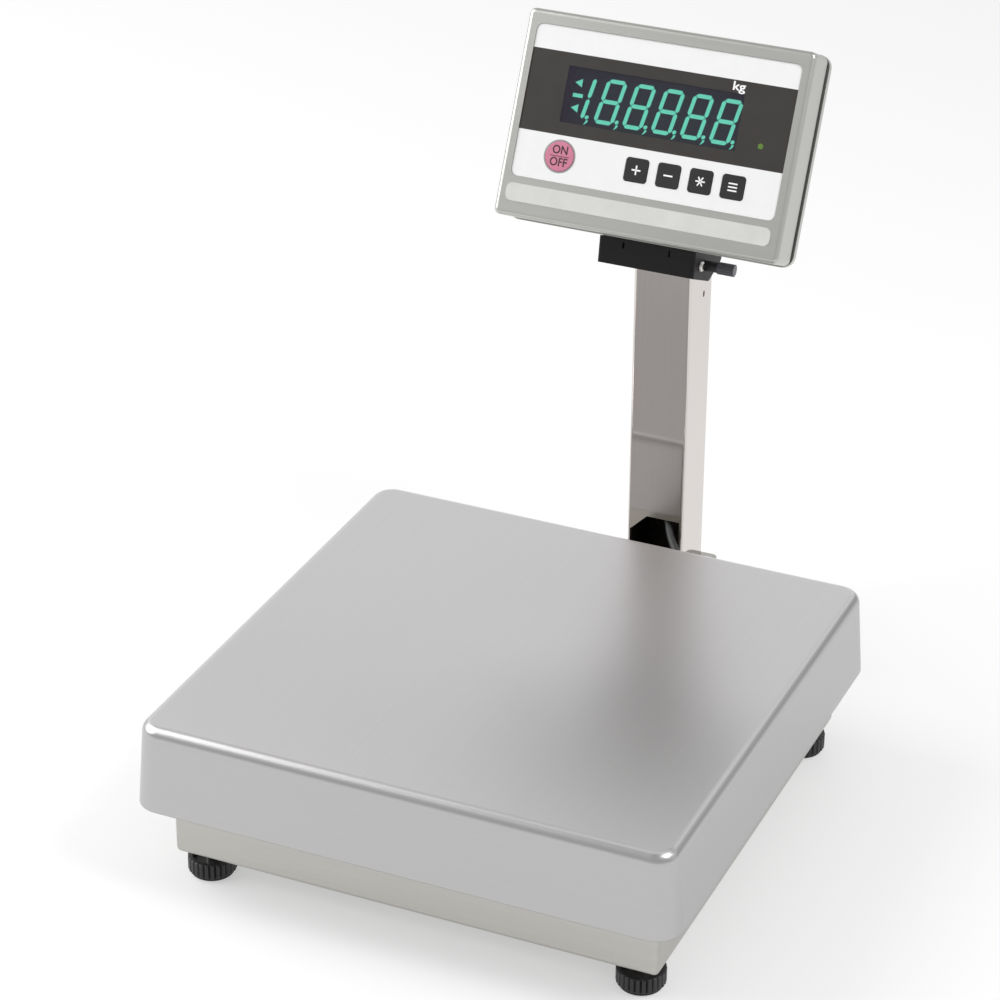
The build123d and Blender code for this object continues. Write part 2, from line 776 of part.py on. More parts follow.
# Thumbscrew that clamps the tilt, with the sleeve that holds its knob off the cheek
sleeve_start = cradle_width / 2 + washer_gap
with BuildPart() as tilt_knob:
    with BuildSketch(across(sleeve_start + sleeve_length)):
        with Locations(pivot):
            Circle(knob_radius)
            with PolarLocations(knob_radius, knob_grooves):
                Circle(knob_groove_radius, mode=Mode.SUBTRACT)
    extrude(amount=knob_length)
    with BuildSketch(across(sleeve_start + sleeve_length)):
        with Locations(pivot):
            Circle(m5_radius)
    extrude(amount=-(sleeve_start + sleeve_length - ear_outside + ear_sheet + nut_height))
tilt_knob.part.label = "tilt_knob"
export_step(tilt_knob.part, "parts/tilt_knob.step")

with BuildPart() as knob_sleeve:
    with BuildSketch(across(sleeve_start)):
        with Locations(pivot):
            Circle(sleeve_radius)
            Circle(m5_radius, mode=Mode.SUBTRACT)
    extrude(amount=sleeve_length)
knob_sleeve.part.label = "knob_sleeve"
export_step(knob_sleeve.part, "parts/knob_sleeve.step")

# Cradle under the indicator: a folded plate with two cheeks outside the ears
lean = radians(cradle_lean)
turn = radians(tilt)
cover_bottom = case_middle - case_height / 2 - cover_overhang
web_top = cover_bottom - washer_gap
web_bottom = web_top - cradle_sheet
front_foot = (pivot_y - cradle_front_out, pivot_z + cradle_front_up)
inner_foot = (
    front_foot[0] + cradle_sheet * cos(lean),
    front_foot[1] - cradle_sheet * sin(lean),
)


def up_the_front(foot, height_on_face):
    # where the leaning front plate's line through a foot reaches a height on the indicator's face
    foot_height_on_face = (foot[0] - face_y) * sin(turn) + (foot[1] - face_z) * cos(turn)
    run = (height_on_face - foot_height_on_face) / cos(turn - lean)
    return (foot[0] + run * sin(lean), foot[1] + run * cos(lean))


with BuildPart() as cradle:
    with BuildSketch(across(-cradle_width / 2)) as cradle_side:
        with BuildLine():
            Polyline(
                front_foot,
                (pivot_y + cradle_drop_back, pivot_z - cradle_drop),
                (pivot_y + cradle_tail_back, pivot_z - cradle_tail_drop),
                face_point(cradle_top, cover_back + cradle_sheet),
                face_point(cradle_top, cover_back),
                face_point(web_top, cover_back),
                up_the_front(front_foot, web_top),
                close=True,
            )
        make_face()
        fillet(cradle_side.vertices().sort_by(Axis.X)[-1], cradle_corner)
        fillet(cradle_side.vertices().sort_by(Axis.Y)[0], cradle_corner)
    extrude(amount=cradle_width)
    with BuildSketch(across(-cheek_inside)):
        with BuildLine():
            Polyline(
                (inner_foot[0] - sin(lean) * cradle_drop, inner_foot[1] - cos(lean) * cradle_drop),
                up_the_front(inner_foot, web_bottom),
                face_point(web_bottom, cover_back + cradle_sheet),
                face_point(cradle_top + cradle_sheet, cover_back + cradle_sheet),
                (pivot_y + 2 * cradle_tail_back, pivot_z + 3 * cradle_tail_back),
                (pivot_y + 2 * cradle_tail_back, pivot_z - cradle_tail_back),
                close=True,
            )
        make_face()
    extrude(amount=2 * cheek_inside, mode=Mode.SUBTRACT)
    fold_edges = cradle.edges().filter_by(Axis((0, 0, 0), (0, sin(lean), cos(lean))))
    fillet(fold_edges.sort_by(Axis.Y)[:2], cradle_bend)
    with BuildSketch(across(-cradle_width / 2)):
        with Locations(pivot):
            Circle(m5_radius + running_gap)
            with PolarLocations(stop_radius, 1, start_angle=stop_angle):
                Circle(m4_radius + running_gap)
    extrude(amount=cradle_width, mode=Mode.SUBTRACT)
    with BuildSketch(behind(cover_back)):
        with Locations((0, (cradle_screw_high + cradle_screw_low) / 2)):
            with GridLocations(2 * cradle_screw_x, cradle_screw_high - cradle_screw_low, 2, 2):
                Circle(m4_radius + screw_gap)
    extrude(amount=-cradle_sheet, mode=Mode.SUBTRACT)
    with BuildSketch(Plane.XZ.offset(-front_foot[0] - 2 * cradle_sheet)):
        with Locations((-cradle_slot_x, cradle_slot_z), (cradle_slot_x, cradle_slot_z)):
            Rectangle(cradle_slot_width, cradle_slot_height)
    extrude(amount=4 * cradle_sheet, mode=Mode.SUBTRACT)
cradle.part.label = "cradle"
export_step(cradle.part, "parts/cradle.step")

with BuildPart() as cradle_screws:
    for x in (-cradle_screw_x, cradle_screw_x):
        for y in (cradle_screw_low, cradle_screw_high):
            spot = face.from_local_coords((x, y, -cover_back - cradle_sheet))
            seat = Plane(origin=spot, z_dir=face.z_dir * -1)
            grip = cradle_sheet + cover_wall + thread_end
            add_screw(seat, m4_radius, grip, button_head_radius, button_head_height)
cradle_screws.part.label = "cradle_screws"
export_step(cradle_screws.part, "parts/cradle_screws.step")

# Stop screws: fixed in the cheeks, their tips run in the slots of the ears
with BuildPart() as stop_screws:
    for side in (-1, 1):
        spot = (
            side * cradle_width / 2,
            pivot_y + stop_radius * cos(radians(stop_angle)),
            pivot_z + stop_radius * sin(radians(stop_angle)),
        )
        seat = Plane(origin=spot, z_dir=(side, 0, 0))
        grip = cradle_width / 2 - ear_outside + ear_sheet
        add_screw(seat, m4_radius, grip, button_head_radius, button_head_height)
stop_screws.part.label = "stop_screws"
export_step(stop_screws.part, "parts/stop_screws.step")

# Indicator's front case: a deep tray with a recess for the panel and a boss at each rear screw
screw_places = [(x, y) for x in (-screw_column, screw_column) for y in screw_rows]
with BuildPart() as front_case:
    with BuildSketch(behind(case_depth)):
        with Locations((0, case_middle)):
            RectangleRounded(case_width, case_height, case_corner)
    extrude(amount=case_depth)
    face_axis = Axis(face.origin, face.z_dir)
    fillet(front_case.faces().sort_by(face_axis)[-1].edges(), case_edge_radius)
    with BuildSketch(behind(case_depth)):
        with Locations((0, case_middle)):
            RectangleRounded(
                case_width - 2 * case_wall, case_height - 2 * case_wall, case_corner - case_wall
            )
    extrude(amount=case_depth - case_front, mode=Mode.SUBTRACT)
    with BuildSketch(behind(case_depth)):
        with Locations(screw_places):
            Circle(boss_radius)
    extrude(amount=case_depth - case_front)
    with BuildSketch(behind(case_depth)):
        with Locations(screw_places):
            Circle(m3_radius + screw_gap)
    extrude(amount=case_depth - case_front, mode=Mode.SUBTRACT)
    with BuildSketch(face):
        RectangleRounded(
            panel_width + 2 * fit_gap, panel_height + 2 * fit_gap, panel_corner + fit_gap
        )
    extrude(amount=-recess_depth, mode=Mode.SUBTRACT)
    with BuildSketch(face):
        Rectangle(panel_width - 2 * recess_ledge, panel_height - 2 * recess_ledge)
    extrude(amount=-case_front, mode=Mode.SUBTRACT)
front_case.part.label = "front_case"
export_step(front_case.part, "parts/front_case.step")

# Gasket between the case and its rear cover
gasket_width = case_width - 2 * gasket_inset
gasket_height = case_height - 2 * gasket_inset
with BuildPart() as case_gasket:
    with BuildSketch(behind(case_depth + gasket_thickness)):
        with Locations((0, case_middle)):
            RectangleRounded(gasket_width, gasket_height, cover_corner / 2)
            Rectangle(
                gasket_width - 2 * gasket_band,
                gasket_height - 2 * gasket_band,
                mode=Mode.SUBTRACT,
            )
        with Locations(screw_places):
            Circle(m3_radius + screw_gap, mode=Mode.SUBTRACT)
    extrude(amount=gasket_thickness)
case_gasket.part.label = "case_gasket"
export_step(case_gasket.part, "parts/case_gasket.step")

# Rear cover: a shallow dish with a boss under each screw
cover_width = case_width + 2 * cover_overhang
cover_height = case_height + 2 * cover_overhang
with BuildPart() as rear_cover:
    with BuildSketch(behind(cover_back)):
        with Locations((0, case_middle)):
            RectangleRounded(cover_width, cover_height, cover_corner)
    extrude(amount=cover_depth)
    fillet(rear_cover.faces().sort_by(face_axis)[0].edges(), cover_edge_radius)
    with BuildSketch(behind(cover_back - cover_depth)):
        with Locations((0, case_middle)):
            RectangleRounded(
                cover_width - 2 * cover_wall,
                cover_height - 2 * cover_wall,
                cover_corner - cover_wall,
            )
    extrude(amount=-(cover_depth - cover_wall), mode=Mode.SUBTRACT)
    with BuildSketch(behind(cover_back - cover_depth)):
        with Locations(screw_places):
            Circle(boss_radius)
    extrude(amount=-(cover_depth - cover_wall))
    with BuildSketch(behind(cover_back - cover_depth)):
        with Locations(screw_places):
            Circle(m3_radius + screw_gap)
        with Locations((0, (cradle_screw_high + cradle_screw_low) / 2)):
            with GridLocations(2 * cradle_screw_x, cradle_screw_high - cradle_screw_low, 2, 2):
                Circle(m4_radius + screw_gap)
        with Locations((gland_x, gland_y)):
            Circle(gland_stem_radius + fit_gap)
    extrude(amount=-cover_depth, mode=Mode.SUBTRACT)
rear_cover.part.label = "rear_cover"
export_step(rear_cover.part, "parts/rear_cover.step")

with BuildPart() as rear_screws:
    for x, y in screw_places:
        seat = Plane(
            origin=face.from_local_coords((x, y, -cover_back)),
            z_dir=face.z_dir * -1,
        )
        grip = cover_depth + gasket_thickness + case_depth / 2
        add_screw(seat, m3_radius, grip, button_head_radius, button_head_height)
rear_screws.part.label = "rear_screws"
export_step(rear_screws.part, "parts/rear_screws.step")

# Front panel: a thin sheet in the case's recess, with an opening for each thing that shows
key_places = [(key_first_x + i * key_pitch, key_row_y) for i in range(4)]
with BuildPart() as front_panel:
    with BuildSketch(behind(panel_back)):
        RectangleRounded(panel_width, panel_height, panel_corner)
        with Locations((window_middle_x, window_middle_y)):
            Rectangle(
                window_width + 2 * fit_gap, window_height + 2 * fit_gap, mode=Mode.SUBTRACT
            )
        with Locations(key_places):
            RectangleRounded(
                key_width + 2 * slide_gap,
                key_height + 2 * slide_gap,
                key_corner + slide_gap,
                mode=Mode.SUBTRACT,
            )
        with Locations((power_key_x, power_key_y)):
            Circle(power_key_radius + slide_gap, mode=Mode.SUBTRACT)
        with Locations((led_x, led_y)):
            Circle(led_radius + fit_gap, mode=Mode.SUBTRACT)
    extrude(amount=panel_thickness)
front_panel.part.label = "front_panel"
export_step(front_panel.part, "parts/front_panel.step")

# Display window: a smoked pane whose flange is held behind the panel
with BuildPart() as display_window:
    with BuildSketch(behind(panel_back)):
        with Locations((window_middle_x, window_middle_y)):
            Rectangle(window_width, window_height)
    extrude(amount=panel_thickness - fit_gap)
    with BuildSketch(behind(panel_back)):
        with Locations((window_middle_x, window_middle_y)):
            Rectangle(window_width + 2 * window_flange, window_height + 2 * window_flange)
    extrude(amount=-(window_thickness - panel_thickness))
display_window.part.label = "display_window"
export_step(display_window.part, "parts/display_window.step")

# Main board, with the display module and the key switches on it
window_back = panel_back + window_thickness - panel_thickness
with BuildPart() as main_board:
    with BuildSketch(behind(board_depth + board_thickness)) as board_outline:
        with Locations((0, board_middle_y)):
            Rectangle(board_width, board_height)
            with GridLocations(2 * standoff_x, 2 * standoff_y, 2, 2):
                Circle(m3_radius + screw_gap, mode=Mode.SUBTRACT)
    extrude(amount=board_thickness)
main_board.part.label = "main_board"
export_step(main_board.part, "parts/main_board.step")

with BuildPart() as display_module:
    with BuildSketch(behind(board_depth)):
        with Locations((window_middle_x, window_middle_y)):
            Rectangle(window_width + 2 * window_flange, window_height + 2 * window_flange)
    extrude(amount=board_depth - window_back)
display_module.part.label = "display_module"
export_step(display_module.part, "parts/display_module.step")

# Keys: a cap that slides in the panel, a flange that keeps it in and a stem over its switch
key_front = panel_front - key_proud
flange_front = panel_back + slide_gap
stem_back = board_depth / 2
key_shapes = {"key_power": (power_key_x, power_key_y)}
key_shapes.update({f"key_{i + 1}": place for i, place in enumerate(key_places)})
for name, (x, y) in key_shapes.items():
    with BuildPart() as key:
        with BuildSketch(behind(panel_back)) as cap_outline:
            with Locations((x, y)):
                if name == "key_power":
                    Circle(power_key_radius)
                else:
                    RectangleRounded(key_width, key_height, key_corner)
        extrude(amount=panel_back - key_front)
        fillet(key.faces().sort_by(face_axis)[-1].edges(), key_edge_radius)
        with BuildSketch(behind(panel_back)):
            with Locations((x, y)):
                Circle(key_stem_radius)
        extrude(amount=-(stem_back - panel_back))
        with BuildSketch(behind(flange_front)):
            with Locations((x, y)):
                if name == "key_power":
                    Circle(power_key_radius + key_flange)
                else:
                    Rectangle(key_width + 2 * key_flange, key_height + 2 * key_flange)
        extrude(amount=-key_flange)
    key.part.label = name
    export_step(key.part, f"parts/{name}.step")

with BuildPart() as key_switches:
    with BuildSketch(behind(board_depth)):
        with Locations(list(key_shapes.values())):
            Rectangle(2 * key_stem_radius, 2 * key_stem_radius)
    extrude(amount=board_depth - stem_back - key_travel - running_gap)
key_switches.part.label = "key_switches"
export_step(key_switches.part, "parts/key_switches.step")

# Lamp: a light pipe from the board to the panel
with BuildPart() as status_lamp:
    with BuildSketch(behind(board_depth)):
        with Locations((led_x, led_y)):
            Circle(led_radius)
    extrude(amount=board_depth - panel_front + fit_gap)
status_lamp.part.label = "status_lamp"
export_step(status_lamp.part, "parts/status_lamp.step")

# Pillars that hold the board off the rear cover
with BuildPart() as board_standoffs:
    with BuildSketch(behind(cover_back - cover_wall)):
        with Locations((0, board_middle_y)):
            with GridLocations(2 * standoff_x, 2 * standoff_y, 2, 2):
                Circle(standoff_radius)
    extrude(amount=cover_back - cover_wall - board_depth - board_thickness)
board_standoffs.part.label = "board_standoffs"
export_step(board_standoffs.part, "parts/board_standoffs.step")

# Plain strip on the case below the panel
with BuildPart() as info_strip:
    with BuildSketch(face):
        with Locations((strip_x, strip_y)):
            RectangleRounded(strip_width, strip_height, strip_corner)
    extrude(amount=strip_thickness)
info_strip.part.label = "info_strip"
export_step(info_strip.part, "parts/info_strip.step")

# Signal cable: from the cell's side, through the base's gland, up the window into the column
cable_route = [
    (cell_width / 2, pan_y + 47, cell_bottom_z + 7),
    (40, pan_y + 47, cell_bottom_z + 7),
    (50, pan_y + 74, 76),
    (48, pan_y + 104, 62),
    (base_gland_x, base_rear_y - 22, base_gland_z),
    (base_gland_x, base_rear_y + 22, base_gland_z),
    (36, column_front_y - 26, 70),
    (11, column_front_y - 1, 81),
    (2, column_front_y + 16, 104),
    (-1, column_y - 3, 148),
    (-2, column_y - 3, 196),
    (-1.5, column_y - 2, 244),
    (0, column_y, 284),
    (0, column_y, column_top_z + cap_height),
]
with BuildPart() as signal_cable:
    with BuildLine() as cable_path:
        corners = [Vector(*point) for point in cable_route]
        radii = []
        for before, corner, after in zip(corners, corners[1:], corners[2:]):
            run = min((corner - before).length, (after - corner).length)
            turn_half = radians((corner - before).get_angle(after - corner)) / 2
            radii.append(0.45 * run / tan(turn_half))
        FilletPolyline(*corners, radius=radii)
    with BuildSketch(Plane(origin=cable_path.line @ 0, z_dir=cable_path.line % 0)):
        Circle(cable_radius)
    sweep()
cable_length = cable_path.wires()[0].length
cable_section = pi * cable_radius**2
print("cable radii", [round(radius) for radius in radii])
print("cable length", round(cable_length, 1))
print("cable volume over section times length", signal_cable.part.volume / (cable_section * cable_length))
signal_cable.part.label = "signal_cable"
export_step(signal_cable.part, "parts/signal_cable.step")
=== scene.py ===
import math

import bmesh
import bpy
from mathutils import Matrix, Vector


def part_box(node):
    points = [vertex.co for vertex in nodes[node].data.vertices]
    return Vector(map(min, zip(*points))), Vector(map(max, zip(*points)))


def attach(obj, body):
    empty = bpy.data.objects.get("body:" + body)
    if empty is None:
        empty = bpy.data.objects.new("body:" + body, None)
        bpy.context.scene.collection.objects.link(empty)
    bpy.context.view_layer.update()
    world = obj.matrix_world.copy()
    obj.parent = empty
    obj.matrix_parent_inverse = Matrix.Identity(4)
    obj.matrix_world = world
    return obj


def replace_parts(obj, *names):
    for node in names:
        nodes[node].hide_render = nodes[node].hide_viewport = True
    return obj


# A bench scale in stainless steel: a weighing pan on its base, a column and a tilting indicator.
# Metres, Z up, the floor at Z = 0, the front towards -Y. Sizes given as mm are in millimetres.

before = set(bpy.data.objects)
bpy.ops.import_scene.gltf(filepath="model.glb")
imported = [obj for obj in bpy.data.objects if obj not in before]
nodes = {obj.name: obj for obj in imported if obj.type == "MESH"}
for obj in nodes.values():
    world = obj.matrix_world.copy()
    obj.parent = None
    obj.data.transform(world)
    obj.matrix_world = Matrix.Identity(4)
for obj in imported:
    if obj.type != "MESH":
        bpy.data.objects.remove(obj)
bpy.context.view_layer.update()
scene = bpy.context.scene
mm = 0.001


class Signal:
    # one output socket that can be used in sums and products
    def __init__(self, graph, socket):
        self.graph = graph
        self.socket = socket

    def calc(self, operation, *values, clamp=False):
        settings = {"operation": operation, "use_clamp": clamp}
        return self.graph.add("ShaderNodeMath", settings, *values)

    def __add__(self, other):
        return self.calc("ADD", self, other)

    __radd__ = __add__

    def __sub__(self, other):
        return self.calc("SUBTRACT", self, other)

    def __rsub__(self, other):
        return self.calc("SUBTRACT", other, self)

    def __mul__(self, other):
        return self.calc("MULTIPLY", self, other)

    __rmul__ = __mul__

    def __truediv__(self, other):
        return self.calc("DIVIDE", self, other)

    def __pow__(self, other):
        return self.calc("POWER", self, other)

    def most(self, other):
        return self.calc("MAXIMUM", self, other)

    def clamped(self):
        return self.calc("ADD", self, 0.0, clamp=True)

    def ramp(self, start, end):
        # 0 before start and 1 after end
        return ((self - start) / (end - start)).clamped()


class Graph:
    # a node tree, for a material or for geometry
    def __init__(self, tree):
        self.tree = tree

    def make(self, kind, settings=None, *values, **named):
        # a node with its settings first, then its sockets by place or by name
        node = self.tree.nodes.new(kind)
        for key, value in (settings or {}).items():
            setattr(node, key, value)
        for place, value in [*enumerate(values), *named.items()]:
            if value is not None:
                self.feed(node, place, value)
        return node

    def add(self, kind, settings=None, *values, out=0, **named):
        # one output of a new node
        return Signal(self, self.make(kind, settings, *values, **named).outputs[out])

    def feed(self, node, place, value):
        if isinstance(place, str):
            place = place.replace("_", " ")
        socket = node.inputs[place]
        if isinstance(value, Signal):
            self.tree.links.new(value.socket, socket)
        else:
            socket.default_value = value

    def split(self, point):
        # X, Y and Z of a point
        parts = self.make("ShaderNodeSeparateXYZ", None, point)
        return [Signal(self, socket) for socket in parts.outputs]


class Finish(Graph):
    # a material whose looks are built from object coordinates
    def __init__(self, name, colour, rough, metal=0.0, **fixed):
        self.material = bpy.data.materials.new(name)
        self.material.use_nodes = True
        super().__init__(self.material.node_tree)
        self.tree.nodes.clear()
        self.shader = self.make(
            "ShaderNodeBsdfPrincipled", None, Metallic=metal, Roughness=rough,
            Base_Color=(*colour, 1.0), **fixed,
        )
        self.surface = Signal(self, self.shader.outputs[0])
        self.output = self.make("ShaderNodeOutputMaterial", None, self.surface)
        self.spot = self.add("ShaderNodeTexCoord", out="Object")
        self.material.diffuse_color = (*colour, 1.0)

    def stretched(self, x, y, z):
        return self.add("ShaderNodeMapping", None, self.spot, Scale=(x, y, z))

    def noise(self, place, scale, detail=3.0, rough=0.5):
        return self.add(
            "ShaderNodeTexNoise", None, Vector=place, Scale=scale, Detail=detail, Roughness=rough
        )

    def along(self):
        # X, Y and Z of the surface, in metres
        return self.split(self.spot)

    def mixed(self, factor, first, second):
        # a mix of two colours, whose sockets stand after those for numbers and vectors
        first, second = (
            tone if isinstance(tone, Signal) else (*tone, 1.0) for tone in (first, second)
        )
        skipped = [None] * 5
        return self.add("ShaderNodeMix", {"data_type": "RGBA"}, factor, *skipped, first, second, out=2)

    def colour(self, value):
        self.feed(self.shader, "Base Color", value)

    def rough(self, value):
        self.feed(self.shader, "Roughness", value)

    def bump(self, height, depth, strength=1.0):
        node = self.add("ShaderNodeBump", None, Strength=strength, Distance=depth, Height=height)
        self.feed(self.shader, "Normal", node)


brush = {"lines": 0.6, "finer": 0.4, "finerBy": 2.7, "patch": 9.0, "wave": 7.0, "contrast": (0.25, 0.75)}


def brushedSteel(
    name, colour, rough, grain, relief=0.00002, streak=0.045, wave=0.0, cloud=0.03,
    skirt=None, inner=None,
):
    # fine lines along the axis where grain is small, and soft patches from handling;
    # skirt says how a pressed sheet differs below its top, where its colour is painted darker as painted
    # shade, and along its rounded edge, and inner how a tube differs inside, where its wall is painted
    # near black as painted shade
    steel = Finish(name, colour, rough, metal=1.0)

    def brushing(scales):
        lines = steel.noise(steel.stretched(*scales), 1.0, 2.0, 0.6)
        thinner = [brush["finerBy"] * value for value in scales]
        finer = steel.noise(steel.stretched(*thinner), 1.0, 1.0)
        return lines * brush["lines"] + finer * brush["finer"]

    def shades(level):
        dark = [value * level * (1.0 - streak) for value in colour]
        light = [min(1.0, value * level * (1.0 + streak)) for value in colour]
        return dark, light

    tone = brushing(grain)
    patches = steel.noise(steel.spot, brush["patch"], 4.0)
    gloss = rough + (patches - 0.5) * (2.0 * cloud)
    if skirt:
        height = steel.along()[2]
        onTop = height.ramp(skirt["top"] - skirt["topBlur"], skirt["top"])
        rounded = height.ramp(skirt["low"] - skirt["lowBlur"], skirt["low"]) * (1.0 - onTop)
        tone = tone * onTop + brushing(skirt["grain"]) * (1.0 - onTop)
        gloss = gloss - rounded * (rough - skirt["polish"])
        worn = (1.0 - steel.along()[1].ramp(*skirt["wornFrom"])) ** 2.0
        gloss = gloss + worn * onTop * skirt["worn"]
    if inner:
        hidden, blur = 1.0, inner["blur"]
        for place, near, far in zip(steel.along(), inner["low"], inner["high"]):
            past = place.ramp(near, near + blur)
            before = 1.0 - place.ramp(far - blur, far)
            hidden = past * before * hidden
        gloss = gloss + hidden * inner["dullness"]
    steel.rough(gloss + (tone - 0.5) * (2.0 * streak))
    contrast = tone.ramp(*brush["contrast"])
    shade = steel.mixed(contrast, *shades(1.0))
    if skirt:
        # below this height the skirt takes a darker copy of the steel colour: painted shade
        lower = height.ramp(skirt["shade"] - skirt["shadeBlur"], skirt["shade"])
        shade = steel.mixed(lower, steel.mixed(contrast, *shades(skirt["paintedShade"])), shade)
    if inner:
        # the inner wall painted near black: painted shade
        shade = steel.mixed(hidden, shade, inner["tone"])
    steel.colour(shade)
    if wave:
        tone = tone + steel.noise(steel.spot, brush["wave"], 0.0) * wave
    steel.bump(tone, relief)
    return steel


moulding = {"haze": 60.0, "gloss": 0.14, "dark": 0.88, "light": 1.1}


def mouldedPlastic(name, colour, rough, grain=1400.0, relief=0.00003, shine=0.5):
    # fine specks, and a soft haze in tone and gloss
    plastic = Finish(name, colour, rough, Specular_IOR_Level=shine)
    speck = plastic.noise(plastic.spot, grain, 2.0)
    haze = plastic.noise(plastic.spot, moulding["haze"], 3.0)
    plastic.rough(rough + (haze - 0.5) * moulding["gloss"])
    low = [value * moulding["dark"] for value in colour]
    high = [min(1.0, value * moulding["light"]) for value in colour]
    plastic.colour(plastic.mixed(haze, low, high))
    plastic.bump(speck, relief)
    return plastic


print("finishes")
face = {"pivot": (174.7, 289.3), "up": 83.4, "out": 56.7, "tilt": math.radians(25.6)}
lean = face["tilt"]
faceY = face["pivot"][0] + face["up"] * math.sin(lean) - face["out"] * math.cos(lean)
faceZ = face["pivot"][1] + face["up"] * math.cos(lean) + face["out"] * math.sin(lean)
faceUp = Vector((0.0, math.sin(lean), math.cos(lean)))
faceOut = Vector((0.0, -math.cos(lean), math.sin(lean)))
facePlace = Matrix(
    (
        (1.0, 0.0, 0.0, 0.0),
        (0.0, faceUp.y, faceOut.y, faceY * mm),
        (0.0, faceUp.z, faceOut.z, faceZ * mm),
        (0.0, 0.0, 0.0, 1.0),
    )
)

# heights and places on the pan are in metres; its front is rougher from use, and below its top the skirt
# is painted darker as painted shade
panSkirt = {
    "top": 0.11545, "topBlur": 0.00005, "low": 0.1090, "lowBlur": 0.0004, "polish": 0.31,
    "shade": 0.1149, "shadeBlur": 0.0005, "paintedShade": 0.71, "grain": (9.0, 9.0, 500.0),
    "wornFrom": (-0.25, 0.02), "worn": 0.18,
}
panSteel = brushedSteel(
    "panBrushed", (0.68, 0.67, 0.675), 0.31, (620.0, 4.0, 620.0), 0.000001, 0.018, wave=4.0,
    cloud=0.012, skirt=panSkirt,
)
skirtSteel = brushedSteel("baseBrushed", (0.49, 0.48, 0.45), 0.345, (9.0, 9.0, 500.0), 0.000005)
# the tube is unpolished inside, and where its window lets one look in its inner wall is painted near
# black as painted shade
tubeInside = {"wall": 0.0013, "blur": 0.0001, "dullness": 0.45, "tone": (0.05, 0.045, 0.04)}
tubeLow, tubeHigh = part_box("column")
tubeInside["low"] = [place + tubeInside["wall"] for place in tubeLow.xy]
tubeInside["high"] = [place - tubeInside["wall"] for place in tubeHigh.xy]
columnSteel = brushedSteel(
    "columnBrushed", (0.645, 0.605, 0.58), 0.065, (700.0, 700.0, 6.0), 0.000003, 0.03,
    cloud=0.012, inner=tubeInside,
)
caseSteel = brushedSteel("caseSatin", (0.52, 0.52, 0.495), 0.33, (7.0, 60.0, 500.0), 0.000001, 0.015)
zincSteel = brushedSteel("platePlain", (0.50, 0.50, 0.49), 0.42, (60.0, 60.0, 60.0), cloud=0.08)
screwSteel = brushedSteel("screwBright", (0.62, 0.61, 0.59), 0.22, (900.0, 900.0, 60.0))
cellAluminium = brushedSteel("cellMachined", (0.72, 0.72, 0.72), 0.34, (900.0, 12.0, 900.0))
darkPaint = mouldedPlastic("bracketPaint", (0.006, 0.006, 0.0065), 0.50, 900.0, 0.00003, shine=0.25)
softRubber = mouldedPlastic("softRubber", (0.018, 0.018, 0.018), 0.75, 1200.0, 0.00006)
footPlastic = mouldedPlastic("footPlastic", (0.016, 0.016, 0.018), 0.40, 1500.0, 0.00004)
gasketRubber = mouldedPlastic("gasketRubber", (0.012, 0.012, 0.012), 0.60)
glandPlastic = mouldedPlastic("glandPlastic", (0.020, 0.020, 0.021), 0.48)
cableSheath = mouldedPlastic("cableSheath", (0.030, 0.030, 0.030), 0.52)
knobPlastic = mouldedPlastic("knobPlastic", (0.115, 0.110, 0.125), 0.32)
washerPlastic = mouldedPlastic("washerPlastic", (0.70, 0.70, 0.68), 0.40)
keyPlastic = mouldedPlastic("keyPlastic", (0.012, 0.012, 0.013), 0.36)
pinkPlastic = mouldedPlastic("pinkPlastic", (0.56, 0.185, 0.28), 0.40, relief=0.00001)
stripFilm = mouldedPlastic("stripFilm", (0.60, 0.60, 0.575), 0.45, relief=0.00001)
printInk = mouldedPlastic("printInk", (0.88, 0.88, 0.88), 0.50, relief=0.00001)
darkInk = mouldedPlastic("darkInk", (0.030, 0.010, 0.016), 0.50, relief=0.00001)
greyInk = mouldedPlastic("greyInk", (0.30, 0.29, 0.29), 0.40, relief=0.00001)
boardLacquer = mouldedPlastic("boardLacquer", (0.02, 0.13, 0.05), 0.35)


bandOnFilm = {"low": -19.0, "high": 33.4, "blur": 0.12}


def panelFilm():
    # white film with the dark band across the display, found by its height on the face
    film = Finish("panelFilm", (0.86, 0.86, 0.86), 0.34)
    y, z = film.along()[1:]
    rise = (y - faceY * mm) * faceUp.y + (z - faceZ * mm) * faceUp.z
    low, high, blur = (bandOnFilm[key] * mm for key in ("low", "high", "blur"))
    band = rise.ramp(low - blur, low + blur) * (1.0 - rise.ramp(high - blur, high + blur))
    haze = film.noise(film.spot, 90.0, 3.0)
    white = film.mixed(haze, (0.78, 0.78, 0.785), (0.82, 0.82, 0.82))
    black = film.mixed(haze, (0.024, 0.021, 0.018), (0.030, 0.026, 0.023))
    film.colour(film.mixed(band, white, black))
    film.rough(0.30 + haze * 0.1)
    film.bump(film.noise(film.spot, 1600.0, 2.0), 0.00001)
    return film


def smokedPane():
    pane = Finish("smokedPane", (0.060, 0.052, 0.082), 0.10, Alpha=0.35)
    haze = pane.noise(pane.spot, 50.0, 2.0)
    pane.rough(0.07 + haze * 0.07)
    pane.colour(pane.mixed(haze, (0.056, 0.048, 0.077), (0.064, 0.056, 0.087)))
    return pane


def glowing(name, colour, strength):
    glow = Finish(name, colour, 0.4, Emission_Strength=strength)
    shimmer = glow.noise(glow.spot, 500.0, 1.0)
    low = [value * 0.86 for value in colour]
    tone = glow.mixed(shimmer, low, colour)
    glow.feed(glow.shader, "Emission Color", tone)
    glow.colour(tone)
    return glow


panelCover = panelFilm()
paneSmoke = smokedPane()
moduleBlack = mouldedPlastic("moduleBlack", (0.040, 0.030, 0.055), 0.5)
digitGlow = glowing("digitGlow", (0.10, 0.56, 0.40), 1.0)
lampGlow = glowing("lampGlow", (0.075, 0.15, 0.015), 0.35)

